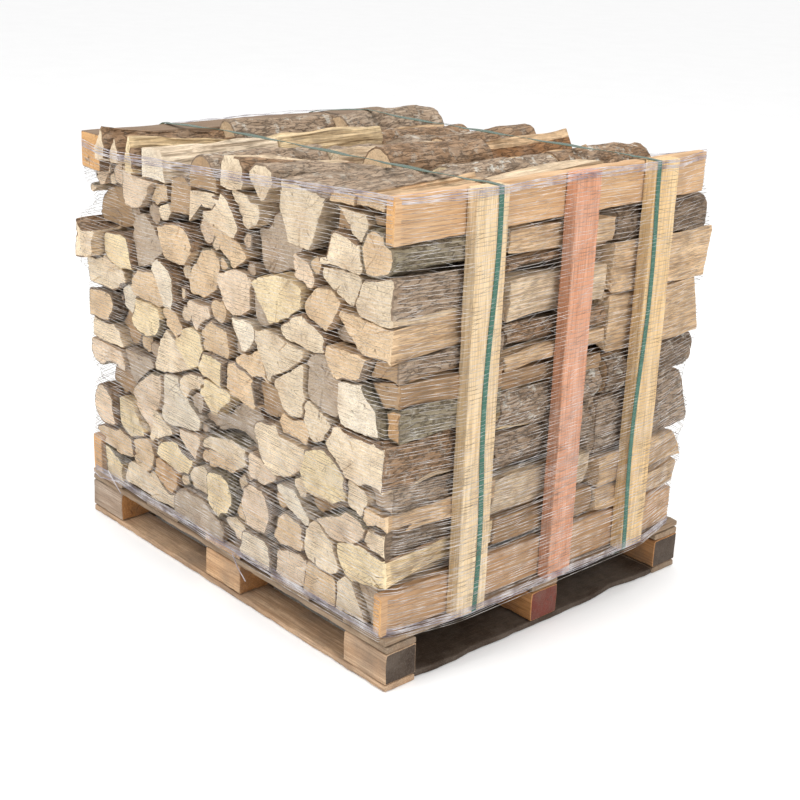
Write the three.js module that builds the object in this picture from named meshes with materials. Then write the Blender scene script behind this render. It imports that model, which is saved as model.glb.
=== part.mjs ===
// A pallet load of split firewood, millimetres, +Z up.
// Three rows of short logs lie along Y on a four-way block pallet. Four squared rails run along
// the corners of the stack, upright battens stand against its two long sides, two flat straps run
// right round battens, stack and deck, and a knitted net is wound round the four sides.
// The origin is under the middle of the pallet, on the floor. X runs along the pallet's long side.

import * as THREE from "three";

// ---------------------------------------------------------------- driving dimensions

const GAP = 0.3;

const PALLET_LENGTH = 1200;
const PALLET_DEPTH = 1000;
const BOARD_THICKNESS = 17;
const BLOCK_LENGTH = 140;
const BLOCK_WIDTH = 90;
const BLOCK_HEIGHT = 75;
const DECK_BOARDS = 5;
const DECK_BOARD_WIDTH = 145;

const LOG_ROWS = {
  front: { near: -500, far: -170 },
  middle: { near: -165, far: 165 },
  back: { near: 170, far: 500 },
};
const STACK_SIDE = 585;
const COURSE_GAP = 1;

const RAIL_OUTER = 587;
const RAIL_NEAR = -503;
const RAIL_FAR = 470;
const RIGHT_RAIL = { thickness: 29.5, height: 98, topRailBottom: 980 };
const LEFT_BOTTOM_RAIL = { thickness: 42, height: 104 };
const LEFT_TOP_RAIL = { thickness: 97, height: 92, bottom: 945 };

const BATTEN_THICKNESS = 35;
const BATTEN_INNER = RAIL_OUTER + 0.5;
const RIGHT_BATTEN_TOP = 1080;
const LEFT_BATTEN_TOP = 1018;
const BATTENS = {
  front: { centre: -270, width: 90 },
  middle: { centre: 19, width: 78 },
  back: { centre: 283, width: 84 },
};

const STRAP_WIDTH = 14;
const STRAP_THICKNESS = 1;
const STRAP_PLACES = { front: -257, back: 255 };

const NET_THICKNESS = 2;
const NET_BOTTOM = 112;
const NET_TOP = 1050;
const NET_SIDE = BATTEN_INNER + BATTEN_THICKNESS + 3;
const NET_END = 532;
const NET_CORNER = { side: 606, run: 345 };

// Heights of the pallet's layers, from the floor up.
const BLOCK_Z = BOARD_THICKNESS + GAP;
const STRINGER_Z = BLOCK_Z + BLOCK_HEIGHT + GAP;
const DECK_Z = STRINGER_Z + BOARD_THICKNESS + GAP;
const DECK_TOP = DECK_Z + BOARD_THICKNESS;
const LOAD_Z = DECK_TOP + 0.5;

// Each top-course log is [left, right, bottom, top, outline]. A "fill" stretch has no log of its
// own there: the stack below it reaches that height. Logs marked near start in front of their row.
const TOP_COURSE = {
  front: [
    { left: -485, right: -425, bottom: 985, top: 1070, outline: "peak", near: -528 },
    { left: -421, right: -377, bottom: 985, top: 1056, outline: "peak", near: -522 },
    { left: -373, right: -325, bottom: 965, top: 1060, outline: "peak", near: -516 },
    { left: -320, right: -218, bottom: 962, top: 1046, outline: "slab" },
    { left: -214, right: -124, top: 1005, outline: "fill" },
    { left: -120, right: -5, bottom: 975, top: 1060, outline: "half" },
    { left: 0, right: 98, bottom: 1000, top: 1078, outline: "billet" },
    { left: 102, right: 208, bottom: 985, top: 1078, outline: "heart" },
    { left: 214, right: 378, bottom: 915, top: 1062, outline: "cheek" },
    { left: 384, right: 462, bottom: 1035, top: 1066, outline: "slab" },
    { left: 466, right: 552, bottom: 1040, top: 1070, outline: "slab" },
  ],
  middle: [
    { left: -484, right: -398, bottom: 950, top: 1036, outline: "half" },
    { left: -394, right: -304, top: 1020, outline: "fill" },
    { left: -300, right: -205, bottom: 955, top: 1044, outline: "slab" },
    { left: -200, right: -105, top: 1008, outline: "fill" },
    { left: -100, right: 10, bottom: 960, top: 1050, outline: "slab" },
    { left: 14, right: 70, top: 1010, outline: "fill" },
    { left: 75, right: 215, bottom: 960, top: 1085, outline: "half" },
    { left: 220, right: 280, top: 1030, outline: "fill" },
    { left: 285, right: 445, bottom: 955, top: 1074, outline: "half" },
    { left: 450, right: 553, bottom: 985, top: 1064, outline: "slab" },
  ],
  back: [
    { left: -484, right: -454, top: 1015, outline: "fill" },
    { left: -450, right: -325, bottom: 950, top: 1041, outline: "half" },
    { left: -320, right: -75, top: 1022, outline: "fill" },
    { left: -70, right: 40, bottom: 955, top: 1057, outline: "half" },
    { left: 45, right: 70, top: 1000, outline: "fill" },
    { left: 75, right: 155, bottom: 960, top: 1060, outline: "peak" },
    { left: 160, right: 290, top: 1030, outline: "fill" },
    { left: 295, right: 425, bottom: 950, top: 1068, outline: "half" },
    { left: 430, right: 470, top: 1020, outline: "fill" },
    { left: 474, right: 552, bottom: 980, top: 1066, outline: "billet" },
  ],
};

// Log ends as convex outlines in a unit square, counter-clockwise from the lower left.
const END_OUTLINES = {
  peak: [[0.12, 0], [0.86, 0.05], [1, 0.42], [0.58, 1], [0, 0.34]],
  slab: [[0, 0], [1, 0], [1, 0.72], [0.9, 1], [0.06, 0.9]],
  billet: [[0.06, 0], [0.94, 0], [1, 0.7], [0.84, 0.97], [0.5, 1], [0.14, 0.96], [0, 0.7]],
  heart: [[0.42, 0], [0.62, 0.08], [1, 0.62], [0.96, 0.86], [0.72, 1], [0.3, 0.98], [0, 0.72], [0.02, 0.5]],
  cheek: [[0.16, 0.02], [0.62, 0], [1, 0.84], [0.84, 0.94], [0.4, 1], [0.06, 0.95], [0, 0.5]],
  half: halfLogOutline(9),
};

const FINISHES = {
  weathered: { color: 0xb89c78, roughness: 0.85 },
  sawn: { color: 0xe0bd85, roughness: 0.75 },
  stained: { color: 0xd98f6a, roughness: 0.75 },
  split: { color: 0xd9b98a, roughness: 0.85 },
  bark: { color: 0x6f6155, roughness: 0.95 },
  strap: { color: 0x2f6b55, roughness: 0.45 },
  net: { color: 0xe8e6ee, roughness: 0.6 },
};

// ---------------------------------------------------------------- shapes

// A log split in half: flat below, round bark above.
function halfLogOutline(steps) {
  const points = [[0.02, 0], [0.98, 0]];
  for (let i = 0; i <= steps; i += 1) {
    const angle = (Math.PI * i) / steps;
    points.push([0.5 + 0.5 * Math.cos(angle), 0.22 + 0.78 * Math.sin(angle)]);
  }
  return points;
}

function finish(kind) {
  return new THREE.MeshStandardMaterial({ ...FINISHES[kind], metalness: 0 });
}

// A board or block between two opposite corners.
function board(name, low, high, kind) {
  const size = high.map((value, axis) => value - low[axis]);
  const mesh = new THREE.Mesh(new THREE.BoxGeometry(...size), finish(kind));
  mesh.name = name;
  mesh.position.set(...low.map((value, axis) => value + size[axis] / 2));
  return mesh;
}

// A closed outline in the XZ plane drawn out along Y from near to far.
function alongY(name, outline, near, far, kind, hole = null) {
  const shape = new THREE.Shape(outline.map(([x, z]) => new THREE.Vector2(x, z)));
  if (hole) {
    shape.holes.push(new THREE.Path(hole.map(([x, z]) => new THREE.Vector2(x, z))));
  }
  const geometry = new THREE.ExtrudeGeometry(shape, { depth: far - near, bevelEnabled: false });
  const mesh = new THREE.Mesh(geometry, finish(kind));
  mesh.name = name;
  mesh.rotation.x = Math.PI / 2;
  mesh.position.y = far;
  return mesh;
}

// A convex counter-clockwise loop moved outwards by a distance.
function grown(loop, distance) {
  return loop.map((point, i) => {
    const here = new THREE.Vector2(...point);
    const before = new THREE.Vector2(...loop[(i + loop.length - 1) % loop.length]);
    const after = new THREE.Vector2(...loop[(i + 1) % loop.length]);
    const arriving = here.clone().sub(before).normalize();
    const leaving = after.clone().sub(here).normalize();
    const outOfArriving = new THREE.Vector2(arriving.y, -arriving.x);
    const outOfLeaving = new THREE.Vector2(leaving.y, -leaving.x);
    const bisector = outOfArriving.clone().add(outOfLeaving).normalize();
    const reach = distance / bisector.dot(outOfLeaving);
    return [here.x + bisector.x * reach, here.y + bisector.y * reach];
  });
}

// ---------------------------------------------------------------- pallet

function pallet(group) {
  const halfLength = PALLET_LENGTH / 2;
  const halfDepth = PALLET_DEPTH / 2;
  const ySpans = {
    front: [-halfDepth, -halfDepth + BLOCK_WIDTH],
    middle: [-BLOCK_WIDTH / 2, BLOCK_WIDTH / 2],
    back: [halfDepth - BLOCK_WIDTH, halfDepth],
  };
  const xSpans = {
    left: [-halfLength, -halfLength + BLOCK_LENGTH],
    centre: [-BLOCK_LENGTH / 2, BLOCK_LENGTH / 2],
    right: [halfLength - BLOCK_LENGTH, halfLength],
  };

  for (const row of ["front", "back"]) {
    const [near, far] = ySpans[row];
    const low = [-halfLength, near, 0];
    const high = [halfLength, far, BOARD_THICKNESS];
    group.add(board(`pallet_bottom_board_${row}`, low, high, "weathered"));
  }
  for (const column of ["left", "centre", "right"]) {
    const [left, right] = xSpans[column];
    const low = [left, ySpans.front[1] + GAP, 0];
    const high = [right, ySpans.back[0] - GAP, BOARD_THICKNESS];
    group.add(board(`pallet_bottom_board_${column}`, low, high, "weathered"));
  }
  for (const [row, [near, far]] of Object.entries(ySpans)) {
    for (const [column, [left, right]] of Object.entries(xSpans)) {
      const low = [left, near, BLOCK_Z];
      const high = [right, far, BLOCK_Z + BLOCK_HEIGHT];
      group.add(board(`pallet_block_${row}_${column}`, low, high, "weathered"));
    }
    const low = [-halfLength, near, STRINGER_Z];
    const high = [halfLength, far, STRINGER_Z + BOARD_THICKNESS];
    group.add(board(`pallet_stringer_${row}`, low, high, "weathered"));
  }
  const pitch = (PALLET_LENGTH - DECK_BOARD_WIDTH) / (DECK_BOARDS - 1);
  for (let i = 0; i < DECK_BOARDS; i += 1) {
    const left = -halfLength + i * pitch;
    const low = [left, -halfDepth, DECK_Z];
    const high = [left + DECK_BOARD_WIDTH, halfDepth, DECK_TOP];
    group.add(board(`pallet_deck_board_${i + 1}`, low, high, "weathered"));
  }
}

// ---------------------------------------------------------------- rails and battens

function rails(group) {
  const places = {
    right_bottom: { ...RIGHT_RAIL, side: 1, bottom: LOAD_Z },
    right_top: { ...RIGHT_RAIL, side: 1, bottom: RIGHT_RAIL.topRailBottom },
    left_bottom: { ...LEFT_BOTTOM_RAIL, side: -1, bottom: LOAD_Z },
    left_top: { ...LEFT_TOP_RAIL, side: -1 },
  };
  for (const [name, rail] of Object.entries(places)) {
    const outer = rail.side * RAIL_OUTER;
    const inner = rail.side * (RAIL_OUTER - rail.thickness);
    const low = [Math.min(outer, inner), RAIL_NEAR, rail.bottom];
    const high = [Math.max(outer, inner), RAIL_FAR, rail.bottom + rail.height];
    group.add(board(`rail_${name}`, low, high, "sawn"));
  }
}

function battens(group) {
  for (const [side, sign, top] of [["right", 1, RIGHT_BATTEN_TOP], ["left", -1, LEFT_BATTEN_TOP]]) {
    for (const [place, { centre, width }] of Object.entries(BATTENS)) {
      const inner = sign * BATTEN_INNER;
      const outer = sign * (BATTEN_INNER + BATTEN_THICKNESS);
      const low = [Math.min(inner, outer), centre - width / 2, LOAD_Z];
      const high = [Math.max(inner, outer), centre + width / 2, top];
      const kind = place === "middle" && side === "right" ? "stained" : "sawn";
      group.add(board(`batten_${side}_${place}`, low, high, kind));
    }
  }
}

// ---------------------------------------------------------------- logs

function logOutline({ left, right, bottom, top, outline }) {
  const width = right - left;
  const height = top - bottom;
  return END_OUTLINES[outline].map(([u, v]) => [left + u * width, bottom + v * height]);
}

// The body of one row of logs: notched for the rails, and stepped to meet the top course.
function stackOutline(course) {
  const bottomRailTop = LOAD_Z + RIGHT_RAIL.height + COURSE_GAP;
  const rightRailInner = RAIL_OUTER - RIGHT_RAIL.thickness - COURSE_GAP;
  const leftTopRailInner = -(RAIL_OUTER - LEFT_TOP_RAIL.thickness - COURSE_GAP);
  const leftBottomRailInner = -(RAIL_OUTER - LEFT_BOTTOM_RAIL.thickness - COURSE_GAP);
  const points = [
    [leftBottomRailInner, LOAD_Z],
    [rightRailInner, LOAD_Z],
    [rightRailInner, bottomRailTop],
    [STACK_SIDE, bottomRailTop],
    [STACK_SIDE, RIGHT_RAIL.topRailBottom - COURSE_GAP],
    [rightRailInner, RIGHT_RAIL.topRailBottom - COURSE_GAP],
  ];
  const steps = [...course].reverse();
  let edge = rightRailInner;
  steps.forEach((step, i) => {
    const height = step.outline === "fill" ? step.top : step.bottom - COURSE_GAP;
    const next = steps[i + 1];
    const end = next ? (step.left + next.right) / 2 : leftTopRailInner;
    points.push([edge, height], [end, height]);
    edge = end;
  });
  points.push(
    [leftTopRailInner, LEFT_TOP_RAIL.bottom - COURSE_GAP],
    [-STACK_SIDE, LEFT_TOP_RAIL.bottom - COURSE_GAP],
    [-STACK_SIDE, LOAD_Z + LEFT_BOTTOM_RAIL.height + COURSE_GAP],
    [leftBottomRailInner, LOAD_Z + LEFT_BOTTOM_RAIL.height + COURSE_GAP],
  );
  return points;
}

function logs(group) {
  for (const [row, { near, far }] of Object.entries(LOG_ROWS)) {
    const course = TOP_COURSE[row];
    group.add(alongY(`log_stack_${row}`, stackOutline(course), near, far, "split"));
    course
      .filter((log) => log.outline !== "fill")
      .forEach((log, i) => {
        const kind = log.outline === "half" ? "bark" : "split";
        group.add(alongY(`top_log_${row}_${i + 1}`, logOutline(log), log.near ?? near, far, kind));
      });
  }
}

// ---------------------------------------------------------------- straps and net

function straps(group) {
  const outer = BATTEN_INNER + BATTEN_THICKNESS + GAP;
  const underDeck = DECK_Z - 0.5;
  const deckSide = PALLET_LENGTH / 2 + 0.5;
  const overLoad = {
    front: [[0, 1079.5], [-485, 1071.5]],
    back: [[-70, 1058.8]],
  };
  for (const [place, centre] of Object.entries(STRAP_PLACES)) {
    const inner = [
      [-deckSide, underDeck],
      [deckSide, underDeck],
      [outer, LOAD_Z],
      [outer, RIGHT_BATTEN_TOP + GAP],
      [BATTEN_INNER, RIGHT_BATTEN_TOP + 2 * GAP],
      ...overLoad[place],
      [-RAIL_OUTER - 0.5, LEFT_TOP_RAIL.bottom + LEFT_TOP_RAIL.height + 0.6],
      [-outer, LEFT_BATTEN_TOP + GAP],
      [-outer, LOAD_Z],
    ];
    const near = centre - STRAP_WIDTH / 2;
    const far = centre + STRAP_WIDTH / 2;
    group.add(alongY(`strap_${place}`, grown(inner, STRAP_THICKNESS), near, far, "strap", inner));
  }
}

function net(group) {
  const inner = [
    [-NET_SIDE, -NET_CORNER.run],
    [-NET_CORNER.side, -NET_END],
    [NET_CORNER.side, -NET_END],
    [NET_SIDE, -NET_CORNER.run],
    [NET_SIDE, NET_CORNER.run],
    [NET_CORNER.side, NET_END],
    [-NET_CORNER.side, NET_END],
    [-NET_SIDE, NET_CORNER.run],
  ];
  const toVectors = (loop) => loop.map(([x, y]) => new THREE.Vector2(x, y));
  const shape = new THREE.Shape(toVectors(grown(inner, NET_THICKNESS)));
  shape.holes.push(new THREE.Path(toVectors(inner)));
  const depth = NET_TOP - NET_BOTTOM;
  const geometry = new THREE.ExtrudeGeometry(shape, { depth, bevelEnabled: false });
  const mesh = new THREE.Mesh(geometry, finish("net"));
  mesh.name = "net_wrap";
  mesh.position.z = NET_BOTTOM;
  group.add(mesh);
}

const load = new THREE.Group();
load.name = "firewood_load";
pallet(load);
rails(load);
logs(load);
battens(load);
straps(load);
net(load);

export default load;
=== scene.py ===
"""A pallet load of split firewood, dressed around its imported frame.

Units are metres in the frame's own axes: +Z up, X along the pallet's long side, and the logs lie
along Y. Log ends are laid out in centimetres as (x, z) corners, seen from the front.
"""

import logging
import math
from collections.abc import Callable
from dataclasses import dataclass, field
from enum import Enum

import bpy
import numpy as np
from mathutils import Matrix, Vector


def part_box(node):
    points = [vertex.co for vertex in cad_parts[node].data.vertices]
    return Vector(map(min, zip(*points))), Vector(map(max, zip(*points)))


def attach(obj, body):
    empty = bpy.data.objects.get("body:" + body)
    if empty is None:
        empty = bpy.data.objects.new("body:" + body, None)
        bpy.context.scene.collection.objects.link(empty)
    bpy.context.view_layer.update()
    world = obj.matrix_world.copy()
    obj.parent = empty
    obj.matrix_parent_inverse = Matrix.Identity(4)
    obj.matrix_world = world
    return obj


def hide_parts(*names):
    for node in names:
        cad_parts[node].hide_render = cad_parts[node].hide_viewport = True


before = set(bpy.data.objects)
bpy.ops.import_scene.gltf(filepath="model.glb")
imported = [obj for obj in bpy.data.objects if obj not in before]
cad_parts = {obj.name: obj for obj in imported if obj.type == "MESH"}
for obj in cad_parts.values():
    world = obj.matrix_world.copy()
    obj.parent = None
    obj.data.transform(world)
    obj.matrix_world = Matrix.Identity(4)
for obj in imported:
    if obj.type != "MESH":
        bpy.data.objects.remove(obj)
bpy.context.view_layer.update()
log = logging.getLogger("firewood_load")

Array = np.ndarray
Colour = tuple[float, float, float]
Point = tuple[float, float, float]


def shade(code: str) -> Colour:
    """Linear colour of a six-digit hex code."""
    parts = [int(code[i : i + 2], 16) / 255 for i in (0, 2, 4)]
    return tuple(p / 12.92 if p <= 0.04045 else ((p + 0.055) / 1.055) ** 2.4 for p in parts)


class Wood(Enum):
    """Fresh-cut wood colours."""

    PALE = "f0e4ce"
    CREAM = "eddbbe"
    YELLOW = "eddab2"
    PINK = "ecd6bb"
    TAN = "e3c8a4"
    GREY = "bcab97"
    BROWN = "b39674"
    ORANGE = "d2ab7d"


class Bark(Enum):
    """Bark colours."""

    GREY = "b8a28b"
    SILVER = "c4b5a3"
    DARK = "927e6a"
    BROWN = "ab8c6e"
    MOSS = "9f957d"
    RED = "a57b55"


class Kind(Enum):
    """What a stretch of a log's side is."""

    SPLIT = 0
    BARK = 1


# ------------------------------------------------------------------ number tools


class Ripple:
    """Smooth repeatable noise from -1 to 1: a sum of plane waves."""

    def __init__(self, seed: int, waves: int = 7) -> None:
        """Draws the waves.

        Args:
            seed: The same seed gives the same noise.
            waves: How many plane waves are summed.
        """
        draw = np.random.default_rng(seed)
        self.waves = draw.normal(size=(waves, 3))
        self.waves *= draw.uniform(0.6, 1.7, (waves, 1)) / np.linalg.norm(self.waves, axis=1)[:, None]
        self.phases = draw.uniform(0, 2 * math.pi, waves)

    def __call__(self, points: Array) -> Array:
        """Noise at points whose last axis holds three coordinates, in wavelengths."""
        return np.sin(points @ self.waves.T * 2 * math.pi + self.phases).mean(-1) * 1.9


def inside(points: Array, loop: Array) -> Array:
    """Which points lie inside a closed loop.

    Args:
        points: (n, 2) points.
        loop: (m, 2) corners in order.

    Returns:
        A boolean for each point.
    """
    x, z = points[:, 0:1], points[:, 1:2]
    ahead = np.roll(loop, -1, axis=0)
    rise = ahead[:, 1] - loop[:, 1]
    rise = np.where(np.abs(rise) < 1e-9, 1e-9, rise)
    crosses = (loop[:, 1] > z) != (ahead[:, 1] > z)
    meets = loop[:, 0] + (z - loop[:, 1]) / rise * (ahead[:, 0] - loop[:, 0])
    return (np.sum(crosses & (x < meets), axis=1) % 2).astype(bool)


def signed_area(loop: Array) -> float:
    """Area of a loop, positive when it runs counter-clockwise."""
    ahead = np.roll(loop, -1, axis=0)
    return float(np.sum(loop[:, 0] * ahead[:, 1] - ahead[:, 0] * loop[:, 1]) / 2)


def normals_of(loop: Array) -> Array:
    """Outward unit normals at the points of a counter-clockwise loop."""
    along = np.roll(loop, -1, axis=0) - np.roll(loop, 1, axis=0)
    out = np.stack([along[:, 1], -along[:, 0]], axis=1)
    return out / np.maximum(np.linalg.norm(out, axis=1), 1e-9)[:, None]


def eased(loop: Array, passes: int = 1) -> Array:
    """A loop with its corners softened."""
    for _ in range(passes):
        loop = 0.5 * loop + 0.25 * (np.roll(loop, 1, axis=0) + np.roll(loop, -1, axis=0))
    return loop


def outward(points: Array, faces: list[tuple[int, ...]]) -> list[tuple[int, ...]]:
    """Turns the faces of a closed body outwards, all together.

    Args:
        points: (n, 3) vertices.
        faces: Corner indices of each face, all turned the same way.

    Returns:
        The faces, with their outer sides outwards.
    """
    volume = 0.0
    for face in faces:
        a = points[face[0]]
        for i in range(1, len(face) - 1):
            volume += float(np.dot(a, np.cross(points[face[i]], points[face[i + 1]])))
    return faces if volume > 0 else [face[::-1] for face in faces]


# ------------------------------------------------------------------ log outlines


@dataclass
class Section:
    """A closed outline across the grain, with what each of its edges is."""

    loop: Array
    bark: Array
    pith: Array

    @classmethod
    def drawn(cls, corners: Array, bark: tuple[int, int] | None, step: float, seed: int) -> "Section":
        """Fills in an outline between its corners.

        Args:
            corners: (k, 2) corners in metres.
            bark: First and last corner of the round barked stretch, (0, 0) for all round, or None.
            step: Spacing of the outline's points.
            seed: Seed of the small bends of split edges.

        Returns:
            The section, counter-clockwise.
        """
        count = len(corners)
        flags = np.zeros(count, bool)
        if bark is not None:
            length = (bark[1] - bark[0]) % count or count
            flags[[(bark[0] + i) % count for i in range(length)]] = True
        if signed_area(corners) < 0:
            corners = corners[::-1]
            flags = np.roll(flags[::-1], -1)
        draw = np.random.default_rng(seed)
        points: list[Array] = []
        kinds: list[bool] = []
        for i in range(count):
            a, b = corners[i], corners[(i + 1) % count]
            along = b - a
            pieces = max(2, round(float(np.linalg.norm(along)) / step))
            t = (np.arange(pieces) / pieces)[:, None]
            if flags[i]:
                before = corners[i - 1] if flags[i - 1] else a - 0.6 * along
                after = corners[(i + 2) % count] if flags[(i + 1) % count] else b + 0.6 * along
                m0, m1 = (b - before) / 2, (after - a) / 2
                t2, t3 = t * t, t * t * t
                filled = (2 * t3 - 3 * t2 + 1) * a + (t3 - 2 * t2 + t) * m0
                filled = filled + (3 * t2 - 2 * t3) * b + (t3 - t2) * m1
            else:
                out = np.array([along[1], -along[0]])
                bend = draw.uniform(-0.05, 0.035) * 4 * t * (1 - t)
                filled = a + along * t + out * bend
            points.append(filled)
            kinds += [bool(flags[i])] * pieces
        drawn = np.concatenate(points)
        loop = np.where(np.array(kinds)[:, None], eased(drawn), 0.7 * drawn + 0.3 * eased(drawn))
        centre = loop.mean(axis=0)
        if flags.all():
            pith = centre
        elif flags.any():
            pith = centre - (loop[np.array(kinds)].mean(axis=0) - centre) * 1.4
        else:
            angle = draw.uniform(0, 2 * math.pi)
            pith = centre + 0.05 * np.array([math.cos(angle), math.sin(angle)])
        return cls(loop, np.array(kinds), pith)

    def shrunk(self, gap: float) -> "Section":
        """The same outline, pulled in by a gap."""
        return Section(self.loop - normals_of(self.loop) * gap, self.bark, self.pith)


@dataclass
class Cut:
    """One log as it is set out: its end outline, finish and reach along Y."""

    section: Section
    wood: Wood
    hide: Bark
    near: float
    far: float
    seed: int
    fine: bool = False
    lichen: float = 0.0
    name: str = ""
    lift: float = 0.0
    tilt: float = 0.0
    slant: float = 0.0


# ------------------------------------------------------------------ mesh building


@dataclass
class Stock:
    """Meshes being gathered into one piece, with the attributes that its finish reads."""

    points: list[Array] = field(default_factory=list)
    faces: list[tuple[int, ...]] = field(default_factory=list)
    grain: list[Array] = field(default_factory=list)
    wood: list[Array] = field(default_factory=list)
    hide: list[Array] = field(default_factory=list)
    barked: list[float] = field(default_factory=list)
    sawn: list[float] = field(default_factory=list)
    count: int = 0

    def add(
        self,
        points: Array,
        faces: list[tuple[int, ...]],
        grain: Array,
        wood: Colour,
        hide: Colour,
        lichen: float,
        barked: list[float],
        sawn: list[float],
    ) -> None:
        """Adds one closed body.

        Args:
            points: (n, 3) vertices.
            faces: Corner indices of each face, within this body.
            grain: (n, 3) coordinates with the grain along the second axis and the pith at 0.
            wood: Colour of its wood.
            hide: Colour of its bark.
            lichen: How much lichen its bark carries, 0 to 1.
            barked: 1 for each face that is bark.
            sawn: 1 for each face that is a sawn end.
        """
        start = self.count
        self.points.append(points)
        self.faces += [tuple(i + start for i in face) for face in faces]
        self.grain.append(grain)
        self.wood.append(np.tile((*wood, 1.0), (len(points), 1)))
        self.hide.append(np.tile((*hide, lichen), (len(points), 1)))
        self.barked += barked
        self.sawn += sawn
        self.count += len(points)

    def piece(self, name: str, material: bpy.types.Material, slot: str) -> bpy.types.Object:
        """Turns the gathered bodies into one object that rides on the load.

        Args:
            name: The object's name.
            material: Its finish.
            slot: Not used.

        Returns:
            The new object.
        """
        mesh = bpy.data.meshes.new(name)
        mesh.from_pydata(np.concatenate(self.points).tolist(), [], self.faces)
        vectors = mesh.attributes.new("grain", "FLOAT_VECTOR", "POINT")
        vectors.data.foreach_set("vector", np.concatenate(self.grain).astype(np.float32).ravel())
        for label, rows in (("wood", self.wood), ("hide", self.hide)):
            colours = mesh.attributes.new(label, "FLOAT_COLOR", "POINT")
            colours.data.foreach_set("color", np.concatenate(rows).astype(np.float32).ravel())
        for label, values in (("barked", self.barked), ("sawn", self.sawn)):
            marks = mesh.attributes.new(label, "FLOAT", "FACE")
            marks.data.foreach_set("value", np.array(values, np.float32))
        mesh.materials.append(material)
        mesh.validate()
        made = bpy.data.objects.new(name, mesh)
        bpy.context.scene.collection.objects.link(made)
        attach(made, "root")
        log.info("%s: %d faces", name, len(mesh.polygons))
        return made


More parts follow.
